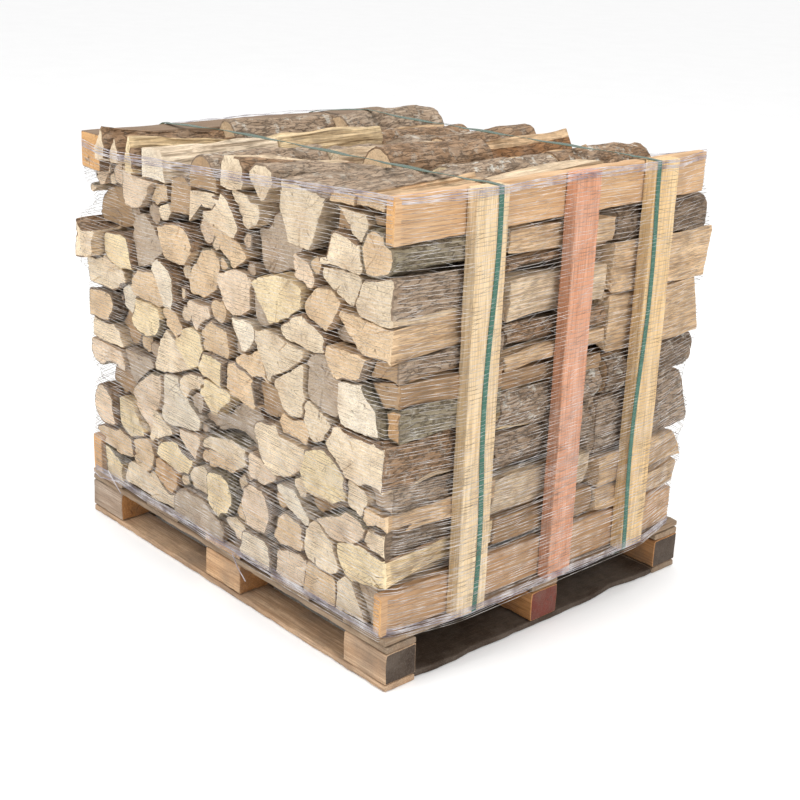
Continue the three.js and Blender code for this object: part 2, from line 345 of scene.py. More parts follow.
@dataclass(frozen=True)
class Lofter:
    """Draws sections out into logs and boards, with rough sides and sawn ends."""

    ring: float = 0.012
    end_calm: float = 0.22
    split_relief: float = 0.0026
    bark_relief: float = 0.0034
    bark_skin: float = 0.0045
    bow: float = 0.005

    def stations(self, near: float, far: float, fine: bool) -> Array:
        """Places of the rings along a log: close together only where its side shows."""
        if fine:
            inner = np.linspace(near + 0.008, far - 0.008, max(3, round((far - near) / self.ring)))
            return np.concatenate([[near, near + 0.003], inner, [far - 0.003, far]])
        return np.array([near, near + 0.003, near + 0.014, near + 0.035, near + 0.07, far])

    def loft(self, stock: Stock, cut: Cut, facing: int = -1) -> None:
        """Adds a log to a piece.

        Args:
            stock: The piece being gathered.
            cut: The log.
            facing: -1 where the finished end faces -Y, 1 where it faces +Y.
        """
        loop, flags = cut.section.loop, cut.section.bark
        count = len(loop)
        draw = np.random.default_rng(cut.seed)
        stations = self.stations(cut.near, cut.far, cut.fine)
        if facing > 0 and not cut.fine:
            stations = (cut.near + cut.far - stations)[::-1]
        rows = len(stations)
        centre = loop.mean(axis=0)
        out = normals_of(loop)
        turn = draw.uniform(0, 100, 3)
        place = np.zeros((rows, count, 3))
        place[:, :, 0], place[:, :, 2] = loop[None, :, 0], loop[None, :, 1]
        place[:, :, 1] = stations[:, None]
        ripple = Ripple(cut.seed)
        fibre = ripple(place * (95.0, 3.0, 95.0) + turn) * self.split_relief
        fibre += ripple(place * (34.0, 5.0, 34.0) + turn[::-1]) * self.split_relief * 1.1
        furrow = -np.abs(ripple(place * (60.0, 11.0, 60.0) + turn)) * self.bark_relief
        furrow += ripple(place * (14.0, 9.0, 14.0) + turn[::-1]) * self.bark_relief * 0.9
        barked = (flags | np.roll(flags, 1)).astype(float)[None, :]
        swell = ripple(place * (7.0, 5.0, 7.0) + turn * 0.5) * 0.0036 - 0.0016
        inboard = np.minimum(stations - cut.near, cut.far - stations)
        calm = self.end_calm + (1 - self.end_calm) * np.clip(inboard / 0.03, 0, 1)
        relief = (furrow * barked + fibre * (1 - barked)) * calm[:, None] + swell
        span = (stations - cut.near) / max(cut.far - cut.near, 1e-6)
        drift = np.sin(np.outer(span, draw.uniform(1.5, 4.0, 2)) + draw.uniform(0, 6, 2)) * self.bow
        drift -= drift[0 if facing < 0 else -1]
        taper = 1 - draw.uniform(0.0, 0.05) * (span if facing < 0 else 1 - span)
        place[:, :, 0] = centre[0] + (loop[:, 0] - centre[0]) * taper[:, None] + out[:, 0] * relief
        place[:, :, 2] = centre[1] + (loop[:, 1] - centre[1]) * taper[:, None] + out[:, 1] * relief
        place[:, :, 0] += drift[:, 0:1]
        place[:, :, 2] += drift[:, 1:2] + cut.lift + cut.tilt * span[:, None]
        place[:, :, 1] += cut.slant * (loop[:, 1] - centre[1]) * span[:, None] ** 2
        lean = draw.uniform(-0.06, 0.06, 2)
        lean_here = (loop - centre) @ lean
        chip = np.maximum(0, ripple(np.stack([loop[:, 0], loop[:, 1], 0 * out[:, 0]], 1) * 55.0) - 0.45)
        for row, sign in ((0, 1.0), (rows - 1, -1.0)):
            place[row, :, 1] += lean_here + sign * chip * 0.006
            rim_here = place[row, :, (0, 2)].T
            towards = rim_here.mean(axis=0) + (rim_here - rim_here.mean(axis=0)) * 0.985
            place[row, :, 0], place[row, :, 2] = towards[:, 0], towards[:, 1]
        if not cut.fine:
            hidden = slice(1, rows) if facing < 0 else slice(0, rows - 1)
            place[hidden, :, 1] += lean_here[None, :] * 0.5
        else:
            place[1, :, 1] += lean_here
            place[rows - 2, :, 1] += lean_here
        points = [place.reshape(-1, 3)]
        faces: list[tuple[int, ...]] = []
        bark: list[float] = []
        sawn: list[float] = []
        for i in range(rows - 1):
            for j in range(count):
                k = (j + 1) % count
                faces.append((i * count + j, i * count + k, (i + 1) * count + k, (i + 1) * count + j))
                bark.append(float(flags[j]))
                sawn.append(0.0)
        total = rows * count
        ends = [(0, -1.0, facing < 0 or cut.fine), (rows - 1, 1.0, facing > 0 or cut.fine)]
        for row, sign, shown in ends:
            rim = list(range(row * count, (row + 1) * count))
            if not shown:
                faces.append(tuple(rim if sign < 0 else rim[::-1]))
                bark.append(0.0)
                sawn.append(1.0)
                continue
            edge = place[row]
            middle = edge.mean(axis=0)
            reach = np.linalg.norm(edge - middle, axis=1, keepdims=True)
            before = rim
            for share in (self.bark_skin, 0.35, 0.7):
                pull = np.minimum(0.3, share / np.maximum(reach, 1e-6)) if share < 0.01 else share
                inner = edge + (middle - edge) * pull
                inner[:, 1] += ripple(inner * 40.0 + turn) * 0.0008
                if share < 0.01:
                    inner[:, 1] += sign * 0.0012 * np.where(flags, 1.0, 0.3)
                points.append(inner)
                now = list(range(total, total + count))
                total += count
                for j in range(count):
                    k = (j + 1) % count
                    quad = (before[j], now[j], now[k], before[k])
                    faces.append(quad if sign < 0 else quad[::-1])
                    bark.append(float(flags[j]) if share < 0.01 else 0.0)
                    sawn.append(1.0)
                before = now
            points.append(middle[None, :])
            for j in range(count):
                tri = (before[j], total, before[(j + 1) % count])
                faces.append(tri if sign < 0 else tri[::-1])
                bark.append(0.0)
                sawn.append(1.0)
            total += 1
        body = np.concatenate(points)
        grain = body - np.array([cut.section.pith[0], 0.0, cut.section.pith[1]])
        grain[:, 1] += draw.uniform(-40, 40)
        vary = 1 + draw.uniform(-0.09, 0.07)
        wood = tuple(min(1.0, c * vary) for c in shade(cut.wood.value))
        stock.add(body, faces, grain, wood, shade(cut.hide.value), cut.lichen, bark, sawn)


# ------------------------------------------------------------------ finishes


Feed = bpy.types.NodeSocket | float | tuple | Vector


class Bench:
    """A node tree being wired with short calls."""

    def __init__(self, tree: bpy.types.NodeTree) -> None:
        """Starts on an empty tree."""
        self.tree = tree

    def node(
        self, kind: str, feeds: dict[int | str, Feed] | None = None, **settings: object
    ) -> bpy.types.Node:
        """Adds a node.

        Args:
            kind: The node's type.
            feeds: Values or sockets for its inputs.
            settings: Its properties.

        Returns:
            The new node.
        """
        made = self.tree.nodes.new(kind)
        for key, value in settings.items():
            setattr(made, key, value)
        for key, value in (feeds or {}).items():
            if isinstance(value, bpy.types.NodeSocket):
                self.tree.links.new(value, made.inputs[key])
            else:
                made.inputs[key].default_value = value
        return made

    def math(self, operation: str, a: Feed, b: Feed = 0.0, clamp: bool = False) -> bpy.types.NodeSocket:
        """One number from two."""
        return self.node("ShaderNodeMath", {0: a, 1: b}, operation=operation, use_clamp=clamp).outputs[0]

    def vector(self, operation: str, a: Feed, b: Feed) -> bpy.types.NodeSocket:
        """One vector from two."""
        return self.node("ShaderNodeVectorMath", {0: a, 1: b}, operation=operation).outputs[0]

    def mix(self, share: Feed, a: Feed, b: Feed, blend: str = "MIX") -> bpy.types.NodeSocket:
        """A colour between two colours."""
        feeds = {0: share, 6: a, 7: b}
        made = self.node("ShaderNodeMix", feeds, data_type="RGBA", blend_type=blend)
        return made.outputs[2]

    def span(
        self, value: Feed, low: float, high: float, to: tuple[float, float] = (0, 1)
    ) -> bpy.types.NodeSocket:
        """A number mapped from low..high to another range, and held inside it."""
        feeds = {0: value, 1: low, 2: high, 3: to[0], 4: to[1]}
        return self.node("ShaderNodeMapRange", feeds, clamp=True).outputs[0]

    def noise(
        self, vector: Feed, scale: float, detail: float = 4.0, rough: float = 0.55
    ) -> bpy.types.NodeSocket:
        """Cloudy noise from 0 to 1."""
        feeds = {"Vector": vector, "Scale": scale, "Detail": detail, "Roughness": rough}
        return self.node("ShaderNodeTexNoise", feeds).outputs[0]

    def attribute(self, name: str, output: str = "Vector") -> bpy.types.NodeSocket:
        """A value stored on the mesh."""
        return self.node("ShaderNodeAttribute", attribute_name=name).outputs[output]


Started = tuple[bpy.types.NodeTree, Bench, bpy.types.Node, bpy.types.Node]


def effect(name: str, inputs: dict[str, str], outputs: dict[str, str]) -> Started:
    """Starts a shared shader effect.

    Args:
        name: The node group's name.
        inputs: Socket type of each named input.
        outputs: Socket type of each named output.

    Returns:
        The group, its bench, and its input and output nodes.
    """
    tree = bpy.data.node_groups.new(name, "ShaderNodeTree")
    for label, kind in inputs.items():
        tree.interface.new_socket(label, in_out="INPUT", socket_type=f"NodeSocket{kind}")
    for label, kind in outputs.items():
        tree.interface.new_socket(label, in_out="OUTPUT", socket_type=f"NodeSocket{kind}")
    bench = Bench(tree)
    return tree, bench, bench.node("NodeGroupInput"), bench.node("NodeGroupOutput")


class Effects:
    """The shared effects, each built once."""

    def __init__(self) -> None:
        """Builds every effect."""
        self.fibre = self._fibre()
        self.rings = self._rings()
        self.skin = self._skin()
        self.grime = self._grime()

    def _fibre(self) -> bpy.types.NodeTree:
        """Long wood fibres: streaks and their relief, with the grain along Y."""
        sockets = {"Grain": "Vector", "Fineness": "Float"}
        outputs = {"Streak": "Float", "Hair": "Float", "Height": "Float", "Blotch": "Float"}
        tree, bench, given, result = effect("wood_fibre", sockets, outputs)
        fine = given.outputs["Fineness"]
        slow = bench.math("MULTIPLY", fine, 0.045)
        fine_vector = bench.node("ShaderNodeCombineXYZ", {0: fine, 1: slow, 2: fine})
        drawn = bench.vector("MULTIPLY", given.outputs["Grain"], fine_vector.outputs[0])
        streak = bench.noise(drawn, 1.0, 5.0, 0.62)
        broad = bench.noise(drawn, 0.22, 3.0, 0.5)
        blotch = bench.noise(given.outputs["Grain"], 16.0, 4.0, 0.6)
        hair = bench.noise(bench.vector("MULTIPLY", drawn, (1.0, 0.6, 1.0)), 2.3, 3.0, 0.6)
        both = bench.math("ADD", bench.math("MULTIPLY", streak, 0.6), bench.math("MULTIPLY", broad, 0.4))
        bench.tree.links.new(bench.span(hair, 0.47, 0.6), result.inputs["Hair"])
        bench.tree.links.new(both, result.inputs["Streak"])
        bench.tree.links.new(streak, result.inputs["Height"])
        bench.tree.links.new(blotch, result.inputs["Blotch"])
        return tree

    def _rings(self) -> bpy.types.NodeTree:
        """Growth rings round the pith, and the cracks that run out from it."""
        sockets = {"Grain": "Vector", "Spacing": "Float"}
        outputs = {"Ring": "Float", "Crack": "Float", "Heart": "Float"}
        tree, bench, given, result = effect("growth_rings", sockets, outputs)
        split = bench.node("ShaderNodeSeparateXYZ", {0: given.outputs["Grain"]})
        x, z = split.outputs[0], split.outputs[2]
        slow = bench.math("MULTIPLY", split.outputs[1], 0.05)
        flat = bench.node("ShaderNodeCombineXYZ", {0: x, 1: slow, 2: z})
        across = bench.node("ShaderNodeCombineXYZ", {0: x, 2: z}).outputs[0]
        reach = bench.node("ShaderNodeVectorMath", {0: across}, operation="LENGTH")
        radius = reach.outputs["Value"]
        wander = bench.math("MULTIPLY", bench.noise(flat.outputs[0], 22.0, 2.0), 0.012)
        turns = bench.math("DIVIDE", bench.math("ADD", radius, wander), given.outputs["Spacing"])
        ring = bench.math("SINE", bench.math("MULTIPLY", turns, 2 * math.pi))
        angle = bench.math("ARCTAN2", z, x)
        swing = bench.math("MULTIPLY", angle, 2.6)
        depth = bench.math("MULTIPLY", radius, 6.0)
        ray = bench.node("ShaderNodeCombineXYZ", {0: swing, 1: split.outputs[1], 2: depth})
        line = bench.math("ABSOLUTE", bench.math("SUBTRACT", bench.noise(ray.outputs[0], 1.0, 1.0), 0.5))
        crack = bench.span(line, 0.0, 0.012, (1, 0))
        where = bench.span(bench.noise(flat.outputs[0], 30.0, 2.0), 0.52, 0.6)
        bench.tree.links.new(bench.span(ring, -1.0, 1.0), result.inputs["Ring"])
        bench.tree.links.new(bench.math("MULTIPLY", crack, where), result.inputs["Crack"])
        bench.tree.links.new(bench.span(radius, 0.012, 0.05, (1, 0)), result.inputs["Heart"])
        return tree

    def _skin(self) -> bpy.types.NodeTree:
        """Bark: plates, dark furrows, fine scale and lichen patches."""
        outputs = {"Plate": "Float", "Furrow": "Float", "Height": "Float", "Lichen": "Float"}
        tree, bench, given, result = effect("bark_skin", {"Grain": "Vector"}, outputs)
        grain = given.outputs["Grain"]
        long_way = bench.vector("MULTIPLY", grain, (1.0, 0.22, 1.0))
        plate = bench.noise(long_way, 62.0, 5.0, 0.62)
        rift = bench.math("ABSOLUTE", bench.math("SUBTRACT", bench.noise(long_way, 105.0, 3.0, 0.5), 0.5))
        furrow = bench.span(rift, 0.0, 0.055, (1, 0))
        cross = bench.vector("MULTIPLY", grain, (0.35, 1.0, 0.35))
        scar = bench.span(bench.noise(cross, 120.0, 2.0), 0.62, 0.72)
        scale = bench.noise(grain, 420.0, 3.0, 0.7)
        spots = bench.noise(grain, 36.0, 5.0, 0.68)
        raised = bench.math("ADD", plate, bench.math("MULTIPLY", scale, 0.35))
        height = bench.math("SUBTRACT", raised, bench.math("MULTIPLY", furrow, 0.55))
        cuts = bench.math("MAXIMUM", furrow, bench.math("MULTIPLY", scar, 0.7))
        bench.tree.links.new(bench.span(plate, 0.32, 0.7), result.inputs["Plate"])
        bench.tree.links.new(cuts, result.inputs["Furrow"])
        bench.tree.links.new(height, result.inputs["Height"])
        bench.tree.links.new(bench.span(spots, 0.55, 0.64), result.inputs["Lichen"])
        return tree

    def _grime(self) -> bpy.types.NodeTree:
        """Dust and handling marks: a soft mask and a speckle mask."""
        sockets = {"Grain": "Vector", "Scale": "Float"}
        outputs = {"Smudge": "Float", "Speck": "Float", "Grit": "Float"}
        tree, bench, given, result = effect("grime", sockets, outputs)
        place = given.outputs["Grain"]
        smudge = bench.noise(place, given.outputs["Scale"], 5.0, 0.62)
        speck = bench.noise(place, 330.0, 2.0, 0.6)
        bench.tree.links.new(bench.span(smudge, 0.44, 0.72), result.inputs["Smudge"])
        grit = bench.noise(place, 270.0, 4.0, 0.75)
        bench.tree.links.new(bench.span(speck, 0.6, 0.7), result.inputs["Speck"])
        bench.tree.links.new(bench.span(grit, 0.5, 0.66), result.inputs["Grit"])
        return tree


def new_material(name: str) -> tuple[bpy.types.Material, Bench, bpy.types.Node]:
    """Starts a material.

    Args:
        name: The material's name.

    Returns:
        The material, its bench and its Principled shader.
    """
    material = bpy.data.materials.new(name)
    material.use_nodes = True
    tree = material.node_tree
    tree.nodes.clear()
    bench = Bench(tree)
    shader = bench.node("ShaderNodeBsdfPrincipled")
    shader.inputs["Specular IOR Level"].default_value = 0.25
    bench.node("ShaderNodeOutputMaterial", {"Surface": shader.outputs[0]})
    return material, bench, shader


@dataclass(frozen=True)
class SplitLogFinish:
    """Firewood: fibrous split sides, sawn ends with rings, and bark where a log has it."""

    ring_spacing: float = 0.0026
    fineness: float = 190.0

    def material(self, effects: Effects) -> bpy.types.Material:
        """Builds the material, which reads the grain, colours and masks stored on the mesh.

        Args:
            effects: The shared shader effects.

        Returns:
            The finished material.
        """
        material, bench, shader = new_material("split_log")
        grain = bench.attribute("grain")
        wood = bench.attribute("wood", "Color")
        hide = bench.attribute("hide", "Color")
        lichen_share = bench.attribute("hide", "Alpha")
        barked = bench.attribute("barked", "Fac")
        sawn = bench.attribute("sawn", "Fac")
        fibre = bench.node("ShaderNodeGroup", node_tree=effects.fibre)
        rings = bench.node("ShaderNodeGroup", node_tree=effects.rings)
        skin = bench.node("ShaderNodeGroup", node_tree=effects.skin)
        grime = bench.node("ShaderNodeGroup", node_tree=effects.grime)
        for group in (fibre, rings, skin, grime):
            bench.tree.links.new(grain, group.inputs["Grain"])
        fibre.inputs["Fineness"].default_value = self.fineness
        rings.inputs["Spacing"].default_value = self.ring_spacing
        grime.inputs["Scale"].default_value = 26.0
        smudge = grime.outputs["Smudge"]
        speck = grime.outputs["Speck"]
        # Split sides: streaked along the fibres, a little darker and redder than the ends.
        side = bench.mix(0.85, wood, (0.5, 0.41, 0.33, 1), "MULTIPLY")
        streak = bench.span(fibre.outputs["Streak"], 0.4, 0.62)
        side = bench.mix(streak, side, bench.mix(0.8, wood, (0.97, 0.91, 0.85, 1), "MULTIPLY"))
        side = bench.mix(bench.math("MULTIPLY", smudge, 0.5), side, (0.2, 0.145, 0.1, 1))
        side = bench.mix(bench.math("MULTIPLY", fibre.outputs["Hair"], 0.55), side, (0.17, 0.12, 0.08, 1))
        # Sawn ends: rings, heart, radial cracks, pores and a dusty smudge.
        late = bench.mix(0.5, wood, (0.72, 0.55, 0.38, 1), "MULTIPLY")
        end = bench.mix(bench.math("MULTIPLY", rings.outputs["Ring"], 0.22), wood, late)
        end = bench.mix(bench.math("MULTIPLY", rings.outputs["Heart"], 0.25), end, (0.46, 0.27, 0.14, 1))
        mottle = bench.span(bench.noise(grain, 110.0, 5.0, 0.75), 0.5, 0.68, (0.0, 0.4))
        end = bench.mix(mottle, end, bench.mix(1.0, wood, (0.62, 0.5, 0.38, 1), "MULTIPLY"))
        end = bench.mix(bench.span(fibre.outputs["Blotch"], 0.5, 0.8, (0, 0.45)), end, (0.42, 0.31, 0.21, 1))
        end = bench.mix(bench.math("MULTIPLY", smudge, 0.3), end, (0.3, 0.23, 0.16, 1))
        end = bench.mix(bench.math("MULTIPLY", rings.outputs["Crack"], 0.75), end, (0.1, 0.06, 0.035, 1))
        end = bench.mix(bench.math("MULTIPLY", speck, 0.5), end, (0.2, 0.135, 0.085, 1))
        end = bench.mix(bench.math("MULTIPLY", grime.outputs["Grit"], 0.36), end, (0.26, 0.18, 0.11, 1))
        # Bark: plates over dark furrows, with pale lichen on some logs.
        bark = bench.mix(skin.outputs["Plate"], bench.mix(0.85, hide, (0.42, 0.36, 0.3, 1), "MULTIPLY"), hide)
        bark = bench.mix(bench.math("MULTIPLY", grime.outputs["Grit"], 0.4), bark, (0.09, 0.068, 0.05, 1))
        faded = bench.span(fibre.outputs["Blotch"], 0.5, 0.75, (0, 0.45))
        bark = bench.mix(faded, bark, (0.36, 0.3, 0.235, 1))
        bark = bench.mix(bench.math("MULTIPLY", skin.outputs["Furrow"], 0.6), bark, (0.05, 0.037, 0.028, 1))
        lichen = bench.math("MULTIPLY", skin.outputs["Lichen"], lichen_share)
        bark = bench.mix(lichen, bark, (0.62, 0.6, 0.53, 1))
        colour = bench.mix(sawn, side, end)
        rim = bench.mix(0.55, hide, (0.12, 0.075, 0.045, 1))
        bark = bench.mix(sawn, bark, rim)
        colour = bench.mix(barked, colour, bark)
        bench.tree.links.new(colour, shader.inputs["Base Color"])
        rough = bench.span(smudge, 0.0, 1.0, (0.72, 0.9))
        bench.tree.links.new(rough, shader.inputs["Roughness"])
        # Relief: fibres on split sides, fine saw tooth and pores on ends, plates on bark.
        side_height = bench.math("MULTIPLY", fibre.outputs["Height"], 0.0035)
        pits = bench.math("MULTIPLY", grime.outputs["Grit"], -0.0009)
        end_height = bench.math("SUBTRACT", pits, bench.math("MULTIPLY", rings.outputs["Crack"], 0.0012))
        bark_height = bench.math("MULTIPLY", skin.outputs["Height"], 0.006)
        height = self._pick(bench, sawn, side_height, end_height)
        height = self._pick(bench, barked, height, bark_height)
        bump = bench.node("ShaderNodeBump", {"Height": height, "Strength": 0.85, "Distance": 1.0})
        bench.tree.links.new(bump.outputs[0], shader.inputs["Normal"])
        return material

    @staticmethod
    def _pick(bench: Bench, share: Feed, a: Feed, b: Feed) -> bpy.types.NodeSocket:
        """A number between two numbers."""
        return bench.node("ShaderNodeMix", {0: share, 2: a, 3: b}, data_type="FLOAT").outputs[0]


@dataclass(frozen=True)
class SawnFinish:
    """Sawn timber: grain streaks, saw marks, dirt, and stain or fresh wood where it shows."""

    name: str
    streak_tone: Colour
    dirt_tone: Colour
    dirt: float
    blotch: float
    hair: float = 0.5
    fineness: float = 150.0

    def material(self, effects: Effects) -> bpy.types.Material:
        """Builds the material, which reads the grain and colours stored on the mesh.

        Args:
            effects: The shared shader effects.

        Returns:
            The finished material.
        """
        material, bench, shader = new_material(self.name)
        grain = bench.attribute("grain")
        wood = bench.attribute("wood", "Color")
        sawn = bench.attribute("sawn", "Fac")
        fibre = bench.node("ShaderNodeGroup", node_tree=effects.fibre)
        rings = bench.node("ShaderNodeGroup", node_tree=effects.rings)
        grime = bench.node("ShaderNodeGroup", node_tree=effects.grime)
        for group in (fibre, rings, grime):
            bench.tree.links.new(grain, group.inputs["Grain"])
        fibre.inputs["Fineness"].default_value = self.fineness
        rings.inputs["Spacing"].default_value = 0.0042
        grime.inputs["Scale"].default_value = 9.0
        streak = bench.span(fibre.outputs["Streak"], 0.38, 0.64)
        wood = bench.mix(sawn, wood, bench.attribute("hide", "Color"))
        dark = bench.mix(1.0, wood, (*self.streak_tone, 1), "MULTIPLY")
        colour = bench.mix(streak, dark, wood)
        hair = bench.math("MULTIPLY", fibre.outputs["Hair"], self.hair)
        colour = bench.mix(hair, colour, bench.mix(1.0, dark, (0.5, 0.43, 0.38, 1), "MULTIPLY"))
        ring_share = bench.math("ADD", bench.math("MULTIPLY", sawn, 0.4), 0.14)
        ring = bench.math("MULTIPLY", rings.outputs["Ring"], ring_share)
        colour = bench.mix(ring, colour, dark)
        crack = bench.math("MULTIPLY", rings.outputs["Crack"], sawn)
        colour = bench.mix(bench.math("MULTIPLY", crack, 0.8), colour, (0.05, 0.035, 0.025, 1))
        smudge = bench.math("MULTIPLY", grime.outputs["Smudge"], self.dirt)
        colour = bench.mix(smudge, colour, (*self.dirt_tone, 1))
        colour = bench.mix(bench.span(fibre.outputs["Blotch"], 0.5, 0.78, (0, self.blotch)), colour, dark)
        speck = bench.math("MULTIPLY", grime.outputs["Grit"], 0.6 * self.dirt)
        colour = bench.mix(speck, colour, (*self.dirt_tone, 1))
        bench.tree.links.new(colour, shader.inputs["Base Color"])
        bench.tree.links.new(bench.span(smudge, 0.0, 1.0, (0.66, 0.92)), shader.inputs["Roughness"])
        split = bench.node("ShaderNodeSeparateXYZ", {0: grain})
        slope = bench.math("MULTIPLY", split.outputs[0], 0.35)
        turns = bench.math("MULTIPLY", bench.math("ADD", split.outputs[1], slope), 2300.0)
        tooth = bench.math("MULTIPLY", bench.math("SINE", turns), 0.00006)
        height = bench.math("ADD", bench.math("MULTIPLY", fibre.outputs["Height"], 0.0022), tooth)
        bump = bench.node("ShaderNodeBump", {"Height": height, "Strength": 0.8, "Distance": 1.0})
        bench.tree.links.new(bump.outputs[0], shader.inputs["Normal"])
        return material


@dataclass(frozen=True)
class StrapFinish:
    """Green strapping band with a fine embossed waffle and pale scuffs."""

    colour: Colour = shade("265847")
    scuff: Colour = shade("7c9d90")

    def material(self) -> bpy.types.Material:
        """Builds the material from coordinates stored on the mesh: along and across the band."""
        material, bench, shader = new_material("strap_band")
        split = bench.node("ShaderNodeSeparateXYZ", {0: bench.attribute("grain")})
        across, along = split.outputs[0], split.outputs[1]
        one_way = bench.math("SINE", bench.math("MULTIPLY", bench.math("ADD", across, along), 2400.0))
        other_way = bench.math("SINE", bench.math("MULTIPLY", bench.math("SUBTRACT", across, along), 2400.0))
        waffle = bench.math("MULTIPLY", one_way, other_way)
        wear = bench.span(bench.noise(bench.attribute("grain"), 70.0, 4.0), 0.5, 0.7)
        colour = bench.mix(bench.math("MULTIPLY", wear, 0.35), (*self.colour, 1), (*self.scuff, 1))
        colour = bench.mix(bench.span(waffle, -1.0, 1.0, (0.0, 0.22)), colour, (*self.scuff, 1))
        geometry = bench.node("ShaderNodeNewGeometry")
        facing = bench.node("ShaderNodeSeparateXYZ", {0: geometry.outputs["Normal"]})
        upward = bench.span(facing.outputs[2], 0.4, 0.8, (0.0, 0.75))
        dust = bench.math("MULTIPLY", upward, bench.span(wear, 0, 1, (1.0, 0.75)))
        colour = bench.mix(dust, colour, (0.095, 0.112, 0.09, 1))
        bench.tree.links.new(colour, shader.inputs["Base Color"])
        bench.tree.links.new(bench.span(wear, 0.0, 1.0, (0.34, 0.6)), shader.inputs["Roughness"])
        height = bench.math("MULTIPLY", waffle, 0.0002)
        bump = bench.node("ShaderNodeBump", {"Height": height, "Strength": 0.7, "Distance": 1.0})
        bench.tree.links.new(bump.outputs[0], shader.inputs["Normal"])
        return material


@dataclass(frozen=True)
class NetFinish:
    """White net thread, a little uneven: some stretches take a darker tone that is painted shadow, standing
    in for the threads' shadow lines on pale wood.
    """

    name: str
    colour: Colour
    # Darker tone: painted shadow of the threads; for the rope it is partly the rope's own purple-grey as
    # well.
    painted_shadow_tone: Colour
    cover: float

    def material(self) -> bpy.types.Material:
        """Builds the material, which lets some of what lies behind show through."""
        material, bench, shader = new_material(self.name)
        shader.inputs["Alpha"].default_value = self.cover
        place = bench.node("ShaderNodeTexCoord").outputs["Object"]
        # Painted shadow: this noise mask turns stretches of thread towards the darker tone, as the threads'
        # shadows on pale wood; it also varies the roughness.
        uneven_shadow_mask = bench.noise(place, 24.0, 3.0)
        colour = bench.mix(bench.span(uneven_shadow_mask, 0.35, 0.65), (*self.colour, 1), (*self.painted_shadow_tone, 1))
        bench.tree.links.new(colour, shader.inputs["Base Color"])
        bench.tree.links.new(bench.span(uneven_shadow_mask, 0.3, 0.7, (0.4, 0.6)), shader.inputs["Roughness"])
        return material


# ------------------------------------------------------------------ boards


